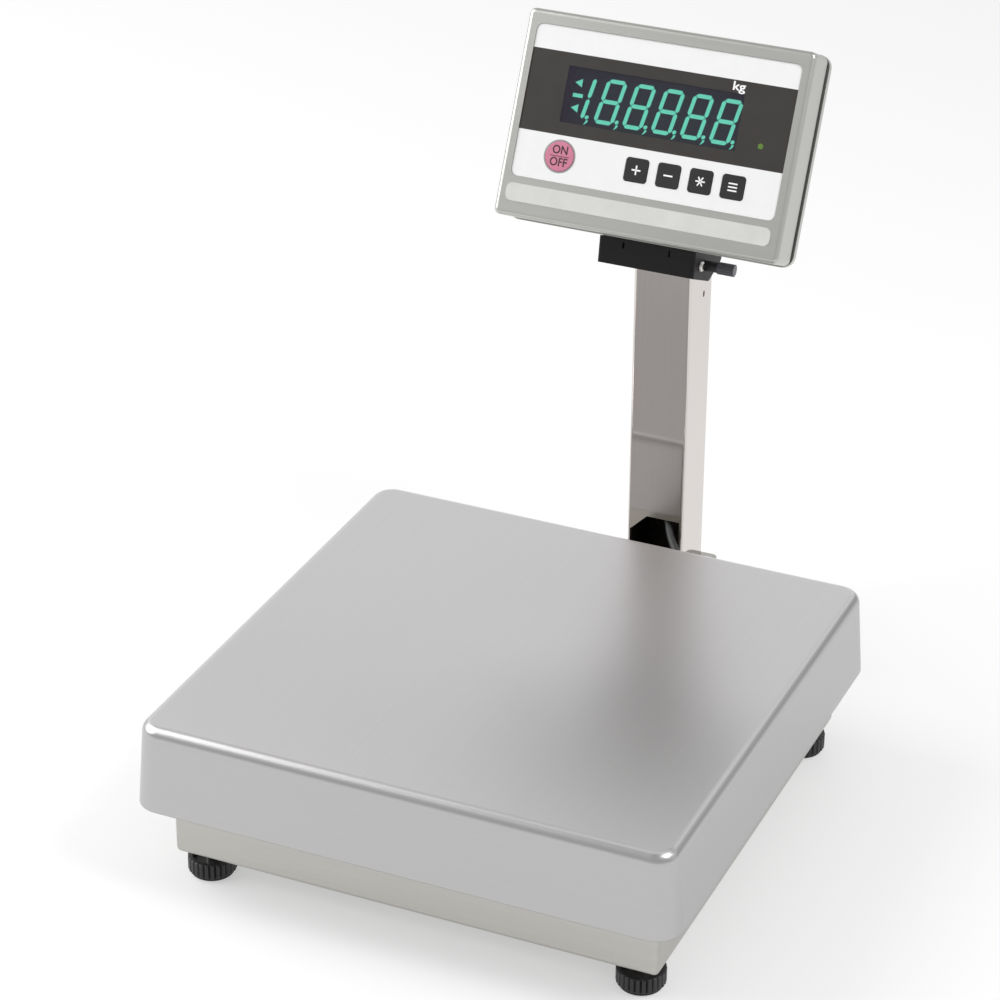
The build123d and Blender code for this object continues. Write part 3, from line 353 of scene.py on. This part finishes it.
wearing = {
    panSteel: ["weighing_pan"],
    skirtSteel: ["base_frame", "column_arm", "column_foot_plate"],
    columnSteel: ["column"],
    caseSteel: ["front_case", "rear_cover"],
    zincSteel: ["cell_beam", "load_platform", "foot_bushes", "cell_spacer_top", "cell_spacer_bottom"],
    screwSteel: [
        "cell_bolts", "overload_stop", "arm_bolts", "foot_plate_screws", "head_bracket_screws",
        "pivot_nuts", "pivot_bolt", "cradle_screws", "stop_screws", "rear_screws", "board_standoffs",
    ],
    cellAluminium: ["load_cell"],
    darkPaint: ["head_bracket", "cradle"],
    softRubber: ["pan_pads"],
    gasketRubber: ["case_gasket"],
    glandPlastic: ["base_gland", "column_gland", "indicator_gland", "column_cap", "knob_sleeve"],
    cableSheath: ["signal_cable"],
    knobPlastic: ["tilt_knob"],
    washerPlastic: ["friction_washers"],
    keyPlastic: ["key_1", "key_2", "key_3", "key_4", "key_switches"],
    pinkPlastic: ["key_power"],
    stripFilm: ["info_strip"],
    boardLacquer: ["main_board"],
    panelCover: ["front_panel"],
    paneSmoke: ["display_window"],
    moduleBlack: ["display_module"],
    lampGlow: ["status_lamp"],
}
corners = ("front_left", "front_right", "rear_left", "rear_right")
wearing[footPlastic] = ["foot_disc_" + corner for corner in corners]
for corner in corners:
    wearing[softRubber].append("foot_sole_" + corner)
    wearing[screwSteel].append("foot_stud_" + corner)
for finish, names in wearing.items():
    for name in names:
        nodes[name].data.materials.clear()
        nodes[name].data.materials.append(finish.material)


def standing(mesh, name, finish, body, place=None):
    # an object at the origin that holds the mesh and rides on a body
    if place is not None:
        mesh.transform(place)
    piece = bpy.data.objects.new(name, mesh)
    scene.collection.objects.link(piece)
    mesh.materials.clear()
    mesh.materials.append(finish.material)
    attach(piece, body)
    return piece


def meshOf(name, build, smooth=False):
    form = bmesh.new()
    build(form)
    bmesh.ops.remove_doubles(form, verts=form.verts, dist=1e-7)
    bmesh.ops.recalc_face_normals(form, faces=form.faces)
    mesh = bpy.data.meshes.new(name)
    form.to_mesh(mesh)
    form.free()
    for polygon in mesh.polygons:
        polygon.use_smooth = smooth
    return mesh


def prism(form, outline, bottom, top):
    # a flat outline pulled from one height to another
    low = [form.verts.new((x, y, bottom)) for x, y in outline]
    high = [form.verts.new((x, y, top)) for x, y in outline]
    form.faces.new(list(reversed(low)))
    form.faces.new(high)
    for i in range(len(outline)):
        j = (i + 1) % len(outline)
        form.faces.new((low[i], low[j], high[j], high[i]))


def roundedRing(width, depth, radius, height, middle, steps=8):
    # points of a rounded rectangle, from the middle of the right side and anticlockwise
    points = []
    for turn, (side, end) in enumerate(((1, 1), (-1, 1), (-1, -1), (1, -1))):
        for step in range(steps + 1):
            angle = math.radians(90.0 * (turn + step / steps))
            points.append(
                Vector(
                    (
                        side * (width / 2 - radius) + radius * math.cos(angle),
                        middle + end * (depth / 2 - radius) + radius * math.sin(angle),
                        height,
                    )
                )
            )
    return points


def joinRings(form, rings, capFirst=False, capLast=False):
    loops = [[form.verts.new(point) for point in ring] for ring in rings]
    for lower, upper in zip(loops, loops[1:]):
        for i in range(len(lower)):
            j = (i + 1) % len(lower)
            form.faces.new((lower[i], lower[j], upper[j], upper[i]))
    if capFirst:
        form.faces.new(list(reversed(loops[0])))
    if capLast:
        form.faces.new(loops[-1])


print("weighing pan")
pan = {
    "width": 350.0, "depth": 345.6, "height": 55.6, "top": 115.5, "middle": -54.1, "flare": 4.2,
    "corner": 18.0, "edge": 6.8, "sheet": 1.2, "lip": 0.25, "rimRound": 0.6, "belowWall": (1.0, 8.0),
    "squeeze": 0.98, "land": (3.0, 1.5), "steps": 12, "cornerSteps": 10,
}


def panRing(width, depth, radius, height):
    points = roundedRing(width, depth, radius, height, pan["middle"], pan["cornerSteps"])
    return [point * mm for point in points]


def panRings(inset):
    # rings up the wall, round the edge and a little way onto the top
    rings = []
    bottom = pan["top"] - pan["height"]
    slope = pan["flare"] / pan["height"]
    wallTop = pan["top"] - pan["edge"]
    heights = [bottom + rise for rise in (pan["lip"], *pan["belowWall"])]
    for height in heights + [(bottom + wallTop) / 2, wallTop]:
        inward = inset + slope * (height - bottom)
        rings.append((inward, pan["corner"] - inward, height))
    start = slope * (wallTop - bottom)
    for step in range(1, pan["steps"] + 1):
        angle = math.radians(90.0 * step / pan["steps"])
        out = pan["edge"] - inset
        inward = start + inset + out * (1.0 - math.cos(angle)) * pan["squeeze"]
        rings.append((inward, pan["corner"] - inward, wallTop + out * math.sin(angle)))
    inward, radius, height = rings[-1]
    rings.append((inward + pan["land"][0], radius - pan["land"][1], height))
    return [
        panRing(pan["width"] - 2 * inward, pan["depth"] - 2 * inward, max(radius, 1.0), height)
        for inward, radius, height in rings
    ]


def panShell(form):
    outer = panRings(0.0)
    inner = panRings(pan["sheet"])
    rim = panRing(
        pan["width"] - pan["sheet"], pan["depth"] - pan["sheet"], pan["corner"] - pan["rimRound"],
        pan["top"] - pan["height"],
    )
    joinRings(form, list(reversed(inner)) + [rim] + outer, capFirst=True, capLast=True)


panMesh = meshOf("panShell", panShell, smooth=True)
panPiece = standing(panMesh, "weighingPanSheet", panSteel, "pan")
keepFlat = panPiece.modifiers.new("evenShade", "WEIGHTED_NORMAL")
keepFlat.keep_sharp = True
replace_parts(panPiece, "weighing_pan")

print("display")
# left and bottom are from the panel's middle; the point and its tail stand at a figure's right foot
digits = {
    "count": 5, "pitch": 19.5, "left": -41.4, "bottom": -7.9, "width": 13.8, "height": 29.0,
    "stroke": 2.55, "gap": 0.24, "slant": 0.18, "thick": 0.04, "depth": 2.3, "oneGap": 1.0,
    "point": (1.8, 2.7), "pointRadius": 1.3, "pointSides": 12,
    "tail": [(1.0, -2.2), (2.2, -1.6), (3.2, -0.3), (3.3, 1.0), (1.9, 1.0), (1.7, -0.6)],
}
# two triangles and a dash at the display's left end
markers = [
    [(-57.6, 15.6), (-52.8, 12.9), (-52.8, 18.3)],
    [(-57.6, -0.5), (-52.8, -3.2), (-52.8, 2.2)],
    [(-57.8, 6.3), (-51.0, 6.3), (-51.0, 8.7), (-57.8, 8.7)],
]


def strokePoints(start, end, half, gap):
    # a bar with pointed ends between two corners of a figure
    (x0, y0), (x1, y1) = start, end
    length = math.hypot(x1 - x0, y1 - y0)
    ux, uy = (x1 - x0) / length, (y1 - y0) / length
    marks = ((gap, 0.0), (gap + half, -half), (length - gap - half, -half), (length - gap, 0.0),
             (length - gap - half, half), (gap + half, half))
    return [(x0 + ux * along - uy * side, y0 + uy * along + ux * side) for along, side in marks]


def slanted(points):
    return [((x + digits["slant"] * y) * mm, y * mm) for x, y in points]


def figureStrokes(right=False):
    # the seven bars of a figure, or only the two on its right
    width, height, stroke = digits["width"], digits["height"], digits["stroke"]
    half = stroke / 2
    left, far, low, high = half, width - half, half, height - half
    middle = height / 2
    bars = [((far, low), (far, middle)), ((far, middle), (far, high))]
    if not right:
        bars += [((left, low), (left, middle)), ((left, middle), (left, high)),
                 ((left, low), (far, low)), ((left, middle), (far, middle)), ((left, high), (far, high))]
    return [strokePoints(start, end, half, digits["gap"]) for start, end in bars]


def pointAndTail():
    # a round point with a short curved tail under it
    width, radius = digits["width"], digits["pointRadius"]
    across, up = digits["point"]
    angles = [math.tau * i / digits["pointSides"] for i in range(digits["pointSides"])]
    dot = [(width + across + radius * math.cos(a), up + radius * math.sin(a)) for a in angles]
    tail = [(width + x, y) for x, y in digits["tail"]]
    return [dot, tail]


def drawAll(shapes, thick):
    def build(form):
        for shape in shapes:
            prism(form, shape, 0.0, thick * mm)
    return build


def host(mesh, name):
    holder = bpy.data.objects.new(name, mesh)
    scene.collection.objects.link(holder)
    return holder


def addInput(tree, name, kind, value=None):
    item = tree.interface.new_socket(name=name, in_out="INPUT", socket_type=kind)
    if value is not None:
        item.default_value = value
    return item


def newGrowth(name):
    tree = bpy.data.node_groups.new(name, "GeometryNodeTree")
    tree.interface.new_socket(name="Geometry", in_out="OUTPUT", socket_type="NodeSocketGeometry")
    addInput(tree, "Geometry", "NodeSocketGeometry")
    return tree


def finishGrowth(graph, source, shape):
    # real geometry with its material, into the group's output
    real = graph.add("GeometryNodeRealizeInstances", None, shape)
    painted = graph.add("GeometryNodeSetMaterial", None, real, Material=source["Material"])
    graph.make("NodeGroupOutput", None, painted)


def sourceOf(graph):
    # the group's inputs by name
    node = graph.make("NodeGroupInput")
    return {socket.name: Signal(graph, socket) for socket in node.outputs if socket.name}


def grow(tree, holder, values):
    # the mesh that the tree makes on a holder, which is then removed
    modifier = holder.modifiers.new("growth", "NODES")
    modifier.node_group = tree
    for item in tree.interface.items_tree:
        if item.item_type == "SOCKET" and item.in_out == "INPUT" and item.name in values:
            modifier[item.identifier] = values[item.name]
    view = bpy.context.evaluated_depsgraph_get()
    mesh = bpy.data.meshes.new_from_object(holder.evaluated_get(view))
    holder.modifiers.remove(modifier)
    bpy.data.objects.remove(holder)
    return mesh


def rowTree():
    # copies of one shape along a straight line
    tree = newGrowth("figuresInARow")
    addInput(tree, "Count", "NodeSocketInt", 5)
    addInput(tree, "Pitch", "NodeSocketFloat", 0.02)
    addInput(tree, "Material", "NodeSocketMaterial")
    graph = Graph(tree)
    source = sourceOf(graph)
    step = graph.add("ShaderNodeCombineXYZ", None, source["Pitch"])
    line = graph.add("GeometryNodeMeshLine", {"mode": "OFFSET"}, Count=source["Count"], Offset=step)
    row = graph.add("GeometryNodeInstanceOnPoints", None, line, Instance=source["Geometry"])
    finishGrowth(graph, source, row)
    return tree


def screwTree():
    # one screw at every point
    tree = newGrowth("screwsOnSeats")
    addInput(tree, "Screw", "NodeSocketObject")
    addInput(tree, "Material", "NodeSocketMaterial")
    graph = Graph(tree)
    source = sourceOf(graph)
    shape = graph.add("GeometryNodeObjectInfo", None, source["Screw"], out="Geometry")
    seats = graph.add("GeometryNodeMeshToPoints", None, source["Geometry"])
    screws = graph.add("GeometryNodeInstanceOnPoints", None, seats, Instance=shape)
    finishGrowth(graph, source, screws)
    return tree


def discTree():
    # a ribbed disc: a circle whose radius dips at every groove, pulled up with a bevel at each end
    tree = newGrowth("ribbedDisc")
    for name, kind, value in (
        ("Radius", "NodeSocketFloat", 0.015), ("Height", "NodeSocketFloat", 0.01),
        ("Ribs", "NodeSocketInt", 24), ("Groove", "NodeSocketFloat", 0.0009),
        ("Bevel", "NodeSocketFloat", 0.0007), ("Cup", "NodeSocketFloat", 0.004),
        ("Rim", "NodeSocketFloat", 0.86), ("Floor", "NodeSocketFloat", 0.97),
        ("Sharpness", "NodeSocketFloat", 5.0), ("Points", "NodeSocketInt", 240),
        ("Material", "NodeSocketMaterial", None),
    ):
        addInput(tree, name, kind, value)
    graph = Graph(tree)
    source = sourceOf(graph)
    circle = graph.add(
        "GeometryNodeMeshCircle", {"fill_type": "NGON"}, Vertices=source["Points"],
        Radius=source["Radius"],
    )
    position = graph.add("GeometryNodeInputPosition")
    x, y = graph.split(position)[:2]
    angle = x.calc("ARCTAN2", y, x)
    wave = angle.calc("COSINE", angle * source["Ribs"])
    dip = (wave * 0.5 + 0.5) ** source["Sharpness"]
    shrink = 1.0 - dip * source["Groove"] / source["Radius"]
    moved = graph.add("ShaderNodeVectorMath", {"operation": "SCALE"}, position, Scale=shrink)
    outline = graph.add("GeometryNodeSetPosition", None, circle, Position=moved)

    def pulled(shape, face, amount, scale):
        # the shape with a face pulled out and scaled, and that face's place
        node = graph.make(
            "GeometryNodeExtrudeMesh", {"mode": "FACES"}, shape, Selection=face, Offset_Scale=amount
        )
        face = Signal(graph, node.outputs["Top"])
        shape = Signal(graph, node.outputs["Mesh"])
        return graph.add("GeometryNodeScaleElements", None, shape, Selection=face, Scale=scale), face

    inward = 1.0 - source["Bevel"] / source["Radius"]
    base = graph.add("GeometryNodeScaleElements", None, outline, Scale=inward)
    shape, face = base, True
    for amount, scale in (
        (source["Bevel"], inward ** -1.0), (source["Height"] - source["Bevel"] * 2.0, 1.0),
        (source["Bevel"], inward), (0.0, source["Rim"]), (source["Cup"] * -1.0, source["Floor"]),
    ):
        shape, face = pulled(shape, face, amount, scale)
    joined = graph.make("GeometryNodeJoinGeometry", None, graph.add("GeometryNodeFlipFaces", None, base))
    graph.feed(joined, 0, shape)
    merged = graph.add(
        "GeometryNodeMergeByDistance", None, Signal(graph, joined.outputs[0]), Distance=1e-6
    )
    finishGrowth(graph, source, merged)
    return tree


rowOf = rowTree()
screwsOn = screwTree()
discOf = discTree()

figure = figureStrokes() + pointAndTail()
figureMesh = meshOf("figure", drawAll([slanted(shape) for shape in figure], digits["thick"]))
figureRow = grow(
    rowOf, host(figureMesh, "figureHolder"),
    {"Count": digits["count"], "Pitch": digits["pitch"] * mm, "Material": digitGlow.material},
)
displayPlace = facePlace @ Matrix.Translation(
    Vector((digits["left"], digits["bottom"], -digits["depth"])) * mm
)
standing(figureRow, "displayFigures", digitGlow, "indicator", displayPlace)

oneShift = -digits["pitch"] - digits["oneGap"]
one = [[(x + oneShift, y) for x, y in shape] for shape in figureStrokes(right=True) + pointAndTail()]
marks = [slanted(shape) for shape in one]
marks += [
    [((x - digits["left"]) * mm, (y - digits["bottom"]) * mm) for x, y in shape] for shape in markers
]
standing(
    meshOf("marks", drawAll(marks, digits["thick"])), "displayMarks", digitGlow, "indicator",
    displayPlace,
)


def wording(text, place, letters, finish, name, body):
    # letters as a closed mesh, centred on a place of the face (across, up, out) in mm
    curve = bpy.data.curves.new(name, "FONT")
    curve.body = text
    curve.size = letters["size"] * mm
    curve.extrude = letters["thick"] * mm / 2
    curve.offset = letters["bold"] * mm
    curve.align_x = "CENTER"
    curve.align_y = "CENTER"
    curve.resolution_u = 4
    holder = host(curve, name + "Curve")
    view = bpy.context.evaluated_depsgraph_get()
    mesh = bpy.data.meshes.new_from_object(holder.evaluated_get(view))
    bpy.data.objects.remove(holder)
    across, up, out = place
    shift = Matrix.Translation(Vector((across, up, out + letters["thick"] / 2)) * mm)
    squeeze = Matrix.Diagonal((letters["wide"], 1.0, 1.0, 1.0))
    return standing(mesh, name, finish, body, facePlace @ shift @ squeeze)


panelFront = -0.7
unit = {"at": (50.8, 29.4, panelFront), "size": 7.8, "thick": 0.06, "wide": 1.22, "bold": 0.14}
wording("kg", unit["at"], unit, printInk, "unitMark", "indicator")

print("keys")
power = {
    "x": -58.5, "y": -32.4, "front": -0.2, "ring": 10.75, "ringWidth": 0.8, "ringThick": 0.06,
    "line": (13.0, 0.45), "size": 7.6, "thick": 0.05, "wide": 0.9, "bold": 0.12, "apart": 3.9,
}
for word, side in (("ON", 1), ("OFF", -1)):
    spot = (power["x"], power["y"] + side * power["apart"], power["front"])
    wording(word, spot, power, darkInk, word.lower() + "Word", "power_key")


def ringOutline(outer, inner, thick, points=64):
    def build(form):
        rings = []
        for radius, height in ((inner, 0.0), (outer, 0.0), (outer, thick), (inner, thick)):
            rings.append([
                Vector((radius * math.cos(a), radius * math.sin(a), height)) * mm
                for a in [math.tau * i / points for i in range(points)]
            ])
        joinRings(form, rings + [rings[0]])
    return build


def boxShape(width, height):
    # the corners of a bar round the middle
    return [(-width / 2 * mm, -height / 2 * mm), (width / 2 * mm, -height / 2 * mm),
            (width / 2 * mm, height / 2 * mm), (-width / 2 * mm, height / 2 * mm)]


powerPlace = facePlace @ Matrix.Translation(Vector((power["x"], power["y"], 0.0)) * mm)
ring = ringOutline(power["ring"], power["ring"] - power["ringWidth"], power["ringThick"])
standing(
    meshOf("powerRing", ring), "powerKeyRing", greyInk, "indicator",
    powerPlace @ Matrix.Translation((0.0, 0.0, panelFront * mm)),
)
standing(
    meshOf("powerLine", drawAll([boxShape(*power["line"])], power["thick"])), "powerKeyLine", darkInk,
    "power_key", powerPlace @ Matrix.Translation((0.0, 0.0, power["front"] * mm)),
)
keyRow = {
    "first": -5.95, "pitch": 21.6, "y": -32.7, "front": -0.2, "thick": 0.05,
    "bar": (6.0, 1.0), "ray": (6.4, 0.9), "thinBar": (6.0, 0.9), "rise": 2.2,
}


def turned(shape, angle):
    cos, sin = math.cos(math.radians(angle)), math.sin(math.radians(angle))
    return [(x * cos - y * sin, x * sin + y * cos) for x, y in shape]


def raised(shape, up):
    return [(x, y + up * mm) for x, y in shape]


# plus, minus, star and three bars
keySigns = {
    "key_1": [turned(boxShape(*keyRow["bar"]), angle) for angle in (0, 90)],
    "key_2": [boxShape(*keyRow["bar"])],
    "key_3": [turned(boxShape(*keyRow["ray"]), angle) for angle in (0, 60, 120)],
    "key_4": [raised(boxShape(*keyRow["thinBar"]), side * keyRow["rise"]) for side in (-1, 0, 1)],
}
for i, (name, signs) in enumerate(keySigns.items()):
    middle = Vector((keyRow["first"] + i * keyRow["pitch"], keyRow["y"], keyRow["front"])) * mm
    place = facePlace @ Matrix.Translation(middle)
    standing(
        meshOf(name + "Sign", drawAll(signs, keyRow["thick"])), f"keySign{i + 1}", printInk,
        f"function_key_{i + 1}", place,
    )

print("screws")
screws = {
    "rear": {"radius": 3.5, "height": 2.2, "socket": 1.1, "deep": 1.2, "shank": 1.5, "grip": 23.5},
    "cradle": {"radius": 3.5, "height": 2.2, "socket": 1.25, "deep": 1.3, "shank": 2.0, "grip": 6.5},
    "stop": {"radius": 3.5, "height": 2.2, "socket": 1.25, "deep": 1.3, "shank": 2.0, "grip": 8.0},
    "bracket": {"radius": 3.5, "height": 2.2, "socket": 1.25, "deep": 1.3, "shank": 2.0, "grip": 7.0},
    "plate": {"radius": 4.4, "height": 0.9, "socket": 1.6, "deep": 0.6, "shank": 2.5, "grip": 12.0},
}
# the head's side, from its seat to its flat top, as shares of its radius and height
headSide = ((1.0, 0.30), (0.95, 0.62), (0.82, 0.86), (0.62, 1.0))
headEdge = {"in": 0.97, "up": 0.18}
shankTip = {"in": 0.8, "up": 0.3}
socketTaper = 0.96


def circlePoints(radius, level, count=36):
    angles = [math.tau * i / count for i in range(count)]
    return [Vector((radius * math.cos(a), radius * math.sin(a), level)) * mm for a in angles]


def socketPoints(reach, level, count=36):
    # a six-sided outline with as many points as the circles
    points = []
    for i in range(count):
        a = math.tau * i / count
        near = (a + math.pi / 6) % (math.pi / 3) - math.pi / 6
        radius = reach / math.cos(near)
        points.append(Vector((radius * math.cos(a), radius * math.sin(a), level)) * mm)
    return points


def screwForm(sizes):
    # a shank below the seat and a domed head with a six-sided socket above it
    radius, height, shank, grip = (sizes[key] for key in ("radius", "height", "shank", "grip"))

    def build(form):
        profile = [(shank * shankTip["in"], -grip), (shank, shank * shankTip["up"] - grip), (shank, 0.0)]
        profile += [(radius * headEdge["in"], 0.0), (radius, headEdge["up"])]
        profile += [(radius * out, height * up) for out, up in headSide]
        rings = [circlePoints(*spot) for spot in profile]
        rings.append(socketPoints(sizes["socket"], height))
        rings.append(socketPoints(sizes["socket"] * socketTaper, height - sizes["deep"]))
        joinRings(form, rings, capFirst=True, capLast=True)
    return build


def seatOn(origin, normal):
    # a place whose Z is the normal, with X level
    normal = Vector(normal).normalized()
    across = Vector((1.0, 0.0, 0.0))
    if abs(normal.x) > 0.9:
        across = Vector((0.0, 1.0, 0.0)) if normal.x > 0 else Vector((0.0, -1.0, 0.0))
    up = normal.cross(across)
    turn = Matrix((across, up, normal)).transposed().to_4x4()
    return Matrix.Translation(Vector(origin) * mm) @ turn


def putScrews(node, kind, groups, body):
    # screws in place of a node, each group on seats (in mm) of a plane of its own
    screw = host(meshOf(kind + "Screw", screwForm(screws[kind])), kind + "Screw")
    form = bmesh.new()
    for seats, place in groups:
        points = bpy.data.meshes.new(node + "Seats")
        points.from_pydata([Vector((x, y, 0.0)) * mm for x, y in seats], [], [])
        made = grow(
            screwsOn, host(points, node + "Holder"),
            {"Screw": screw, "Material": screwSteel.material},
        )
        made.transform(place)
        form.from_mesh(made)
    mesh = bpy.data.meshes.new(node + "Shape")
    form.to_mesh(mesh)
    form.free()
    bpy.data.objects.remove(screw)
    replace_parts(standing(mesh, node + "Shape", screwSteel, body), node)


def grid(across, ups):
    # seats in two columns, left and right of the middle
    return [(side * across, up) for side in (-1, 1) for up in ups]


# back is the depth under the indicator's face; seen from behind, ups count downwards
cover = {"back": 36.5, "across": 88.0, "ups": (-51.5, 8.5, 68.5)}
cradle = {"back": 39.0, "across": 22.0, "ups": (32.0, 54.0)}
for node, kind, hold in (("rear_screws", "rear", cover), ("cradle_screws", "cradle", cradle)):
    place = seatOn(Vector((0.0, faceY, faceZ)) - faceOut * hold["back"], -faceOut)
    putScrews(node, kind, [(grid(hold["across"], hold["ups"]), place)], "indicator")
stop = {"reach": 12.06, "turn": math.radians(159.6), "cheek": 33.0}
stopY = face["pivot"][0] + stop["reach"] * math.cos(stop["turn"])
stopZ = face["pivot"][1] + stop["reach"] * math.sin(stop["turn"])
stopGroups = [
    ([(0.0, 0.0)], seatOn((side * stop["cheek"], stopY, stopZ), (side, 0.0, 0.0))) for side in (-1, 1)
]
putScrews("stop_screws", "stop", stopGroups, "indicator")
bracket = {"front": 179.9, "abovePivot": 4.0, "across": 11.0, "ups": (-8.5, 8.5)}
bracketPlace = seatOn((0.0, bracket["front"], face["pivot"][1] + bracket["abovePivot"]), (0.0, -1.0, 0.0))
bracketSeats = grid(bracket["across"], bracket["ups"])
putScrews("head_bracket_screws", "bracket", [(bracketSeats, bracketPlace)], "base")
plate = {"middle": 202.9, "top": 50.0, "across": 25.5, "ups": (-14.0, 14.0)}
platePlace = seatOn((0.0, plate["middle"], plate["top"]), (0.0, 0.0, 1.0))
putScrews("foot_plate_screws", "plate", [(grid(plate["across"], plate["ups"]), platePlace)], "base")

print("feet")
foot = {
    "radius": 15.0, "low": 2.0, "high": 12.0, "ribs": 26, "ribPoints": 10, "groove": 1.0,
    "bevel": 0.6, "cup": 4.0, "left": -141.3, "right": 141.3, "front": -187.8, "rear": 92.2,
}
for corner in corners:
    end, side = corner.split("_")
    mesh = grow(
        discOf, host(bpy.data.meshes.new("discSeed"), "discHolder"),
        {"Radius": foot["radius"] * mm, "Height": (foot["high"] - foot["low"]) * mm,
         "Ribs": foot["ribs"], "Groove": foot["groove"] * mm, "Bevel": foot["bevel"] * mm,
         "Cup": foot["cup"] * mm, "Points": foot["ribs"] * foot["ribPoints"],
         "Material": footPlastic.material},
    )
    place = Matrix.Translation(Vector((foot[side], foot[end], foot["low"])) * mm)
    disc = standing(mesh, "footDisc_" + corner, footPlastic, "foot_" + corner, place)
    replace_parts(disc, "foot_disc_" + corner)

print("camera and light")
view = {
    "right": (0.91969, 0.39240, 0.01414), "up": (-0.19735, 0.43079, 0.88062),
    "back": (0.33946, -0.81268, 0.47363), "from": (0.7049, -1.6708, 1.1695),
    "lens": 120.22, "sensor": 36.0, "shiftX": -0.0604, "shiftY": 0.0032,
}
camera = bpy.data.objects.new("camera", bpy.data.cameras.new("camera"))
scene.collection.objects.link(camera)
turn = Matrix((view["right"], view["up"], view["back"])).transposed()
camera.matrix_world = Matrix.Translation(view["from"]) @ turn.to_4x4()
camera.data.lens = view["lens"]
camera.data.sensor_width = view["sensor"]
camera.data.shift_x = view["shiftX"]
camera.data.shift_y = view["shiftY"]
scene.camera = camera
scene.view_settings.view_transform = "Standard"

# a pale floor that glows for the camera and in reflections, but adds no light to the object
ground = {"tone": (0.48, 0.48, 0.48), "rough": 0.9, "glow": 0.44, "reach": 12.0, "drop": 0.0003}
floorFinish = Finish("floorPaper", ground["tone"], ground["rough"])
seen = floorFinish.add("ShaderNodeLightPath", out="Is Camera Ray")
for kind in ("Is Glossy Ray", "Is Transmission Ray"):
    seen = seen.most(floorFinish.add("ShaderNodeLightPath", out=kind))
glow = floorFinish.add("ShaderNodeEmission", None, Strength=seen * ground["glow"])
lit = floorFinish.add("ShaderNodeAddShader", None, floorFinish.surface, glow)
floorFinish.feed(floorFinish.output, "Surface", lit)


def floorSheet(form):
    reach = ground["reach"]
    edges = ((-reach, -reach), (reach, -reach), (reach, reach), (-reach, reach))
    form.faces.new([form.verts.new((x, y, -ground["drop"])) for x, y in edges])


floorMesh = meshOf("floorSheet", floorSheet)
floorMesh.materials.append(floorFinish.material)
floorPiece = host(floorMesh, "floor")

# how strong the room is in each direction, whose X, Y and Z run from -1 to 1
room = {"front": 0.76, "rear": 0.34, "band": 0.85, "ceiling": 0.25, "panel": 0.45}
world = bpy.data.worlds.new("studio")
scene.world = world
world.use_nodes = True
sky = Graph(world.node_tree)
sky.tree.nodes.clear()
skyX, skyY, skyZ = sky.split(sky.add("ShaderNodeTexCoord", out="Generated"))
skyCamera = sky.add("ShaderNodeLightPath", out="Is Camera Ray")
behind = skyY.ramp(-0.25, 0.35)
ceiling = skyZ.ramp(0.86, 0.97)
# a dark band high behind, which draws the thin line along the pan's front edge
darkBand = skyZ.ramp(0.66, 0.70) * (1.0 - skyZ.ramp(0.79, 0.83)) * skyY.ramp(0.1, 0.3)
# a grey panel low behind on the right, which the pan's right edge shows
sidePanel = skyX.ramp(0.12, 0.32) * skyY.ramp(0.3, 0.6)
sidePanel = sidePanel * skyZ.ramp(0.02, 0.10) * (1.0 - skyZ.ramp(0.36, 0.43))
level = room["front"] + behind * room["rear"] - darkBand * room["band"] - ceiling * room["ceiling"]
level = level - sidePanel * room["panel"]
level = level * (1.0 - skyCamera) + skyCamera
background = sky.add("ShaderNodeBackground", None, Strength=level)
sky.make("ShaderNodeOutputWorld", None, background)

lampAim = Vector((0.0, 0.0, 0.15))
lamps = {
    "key": {"from": (-2.0, -0.6, 1.6), "size": 2.3, "power": 50.0},
    "top": {"from": (1.25, -0.25, 1.75), "size": 0.9, "power": 16.0},
}
for name, lamp in lamps.items():
    data = bpy.data.lights.new(name, "AREA")
    data.shape = "DISK"
    data.size = lamp["size"]
    data.energy = lamp["power"]
    holder = bpy.data.objects.new(name, data)
    scene.collection.objects.link(holder)
    aim = lampAim - Vector(lamp["from"])
    holder.location = lamp["from"]
    holder.rotation_euler = aim.to_track_quat("-Z", "Y").to_euler()
    holder.visible_camera = False
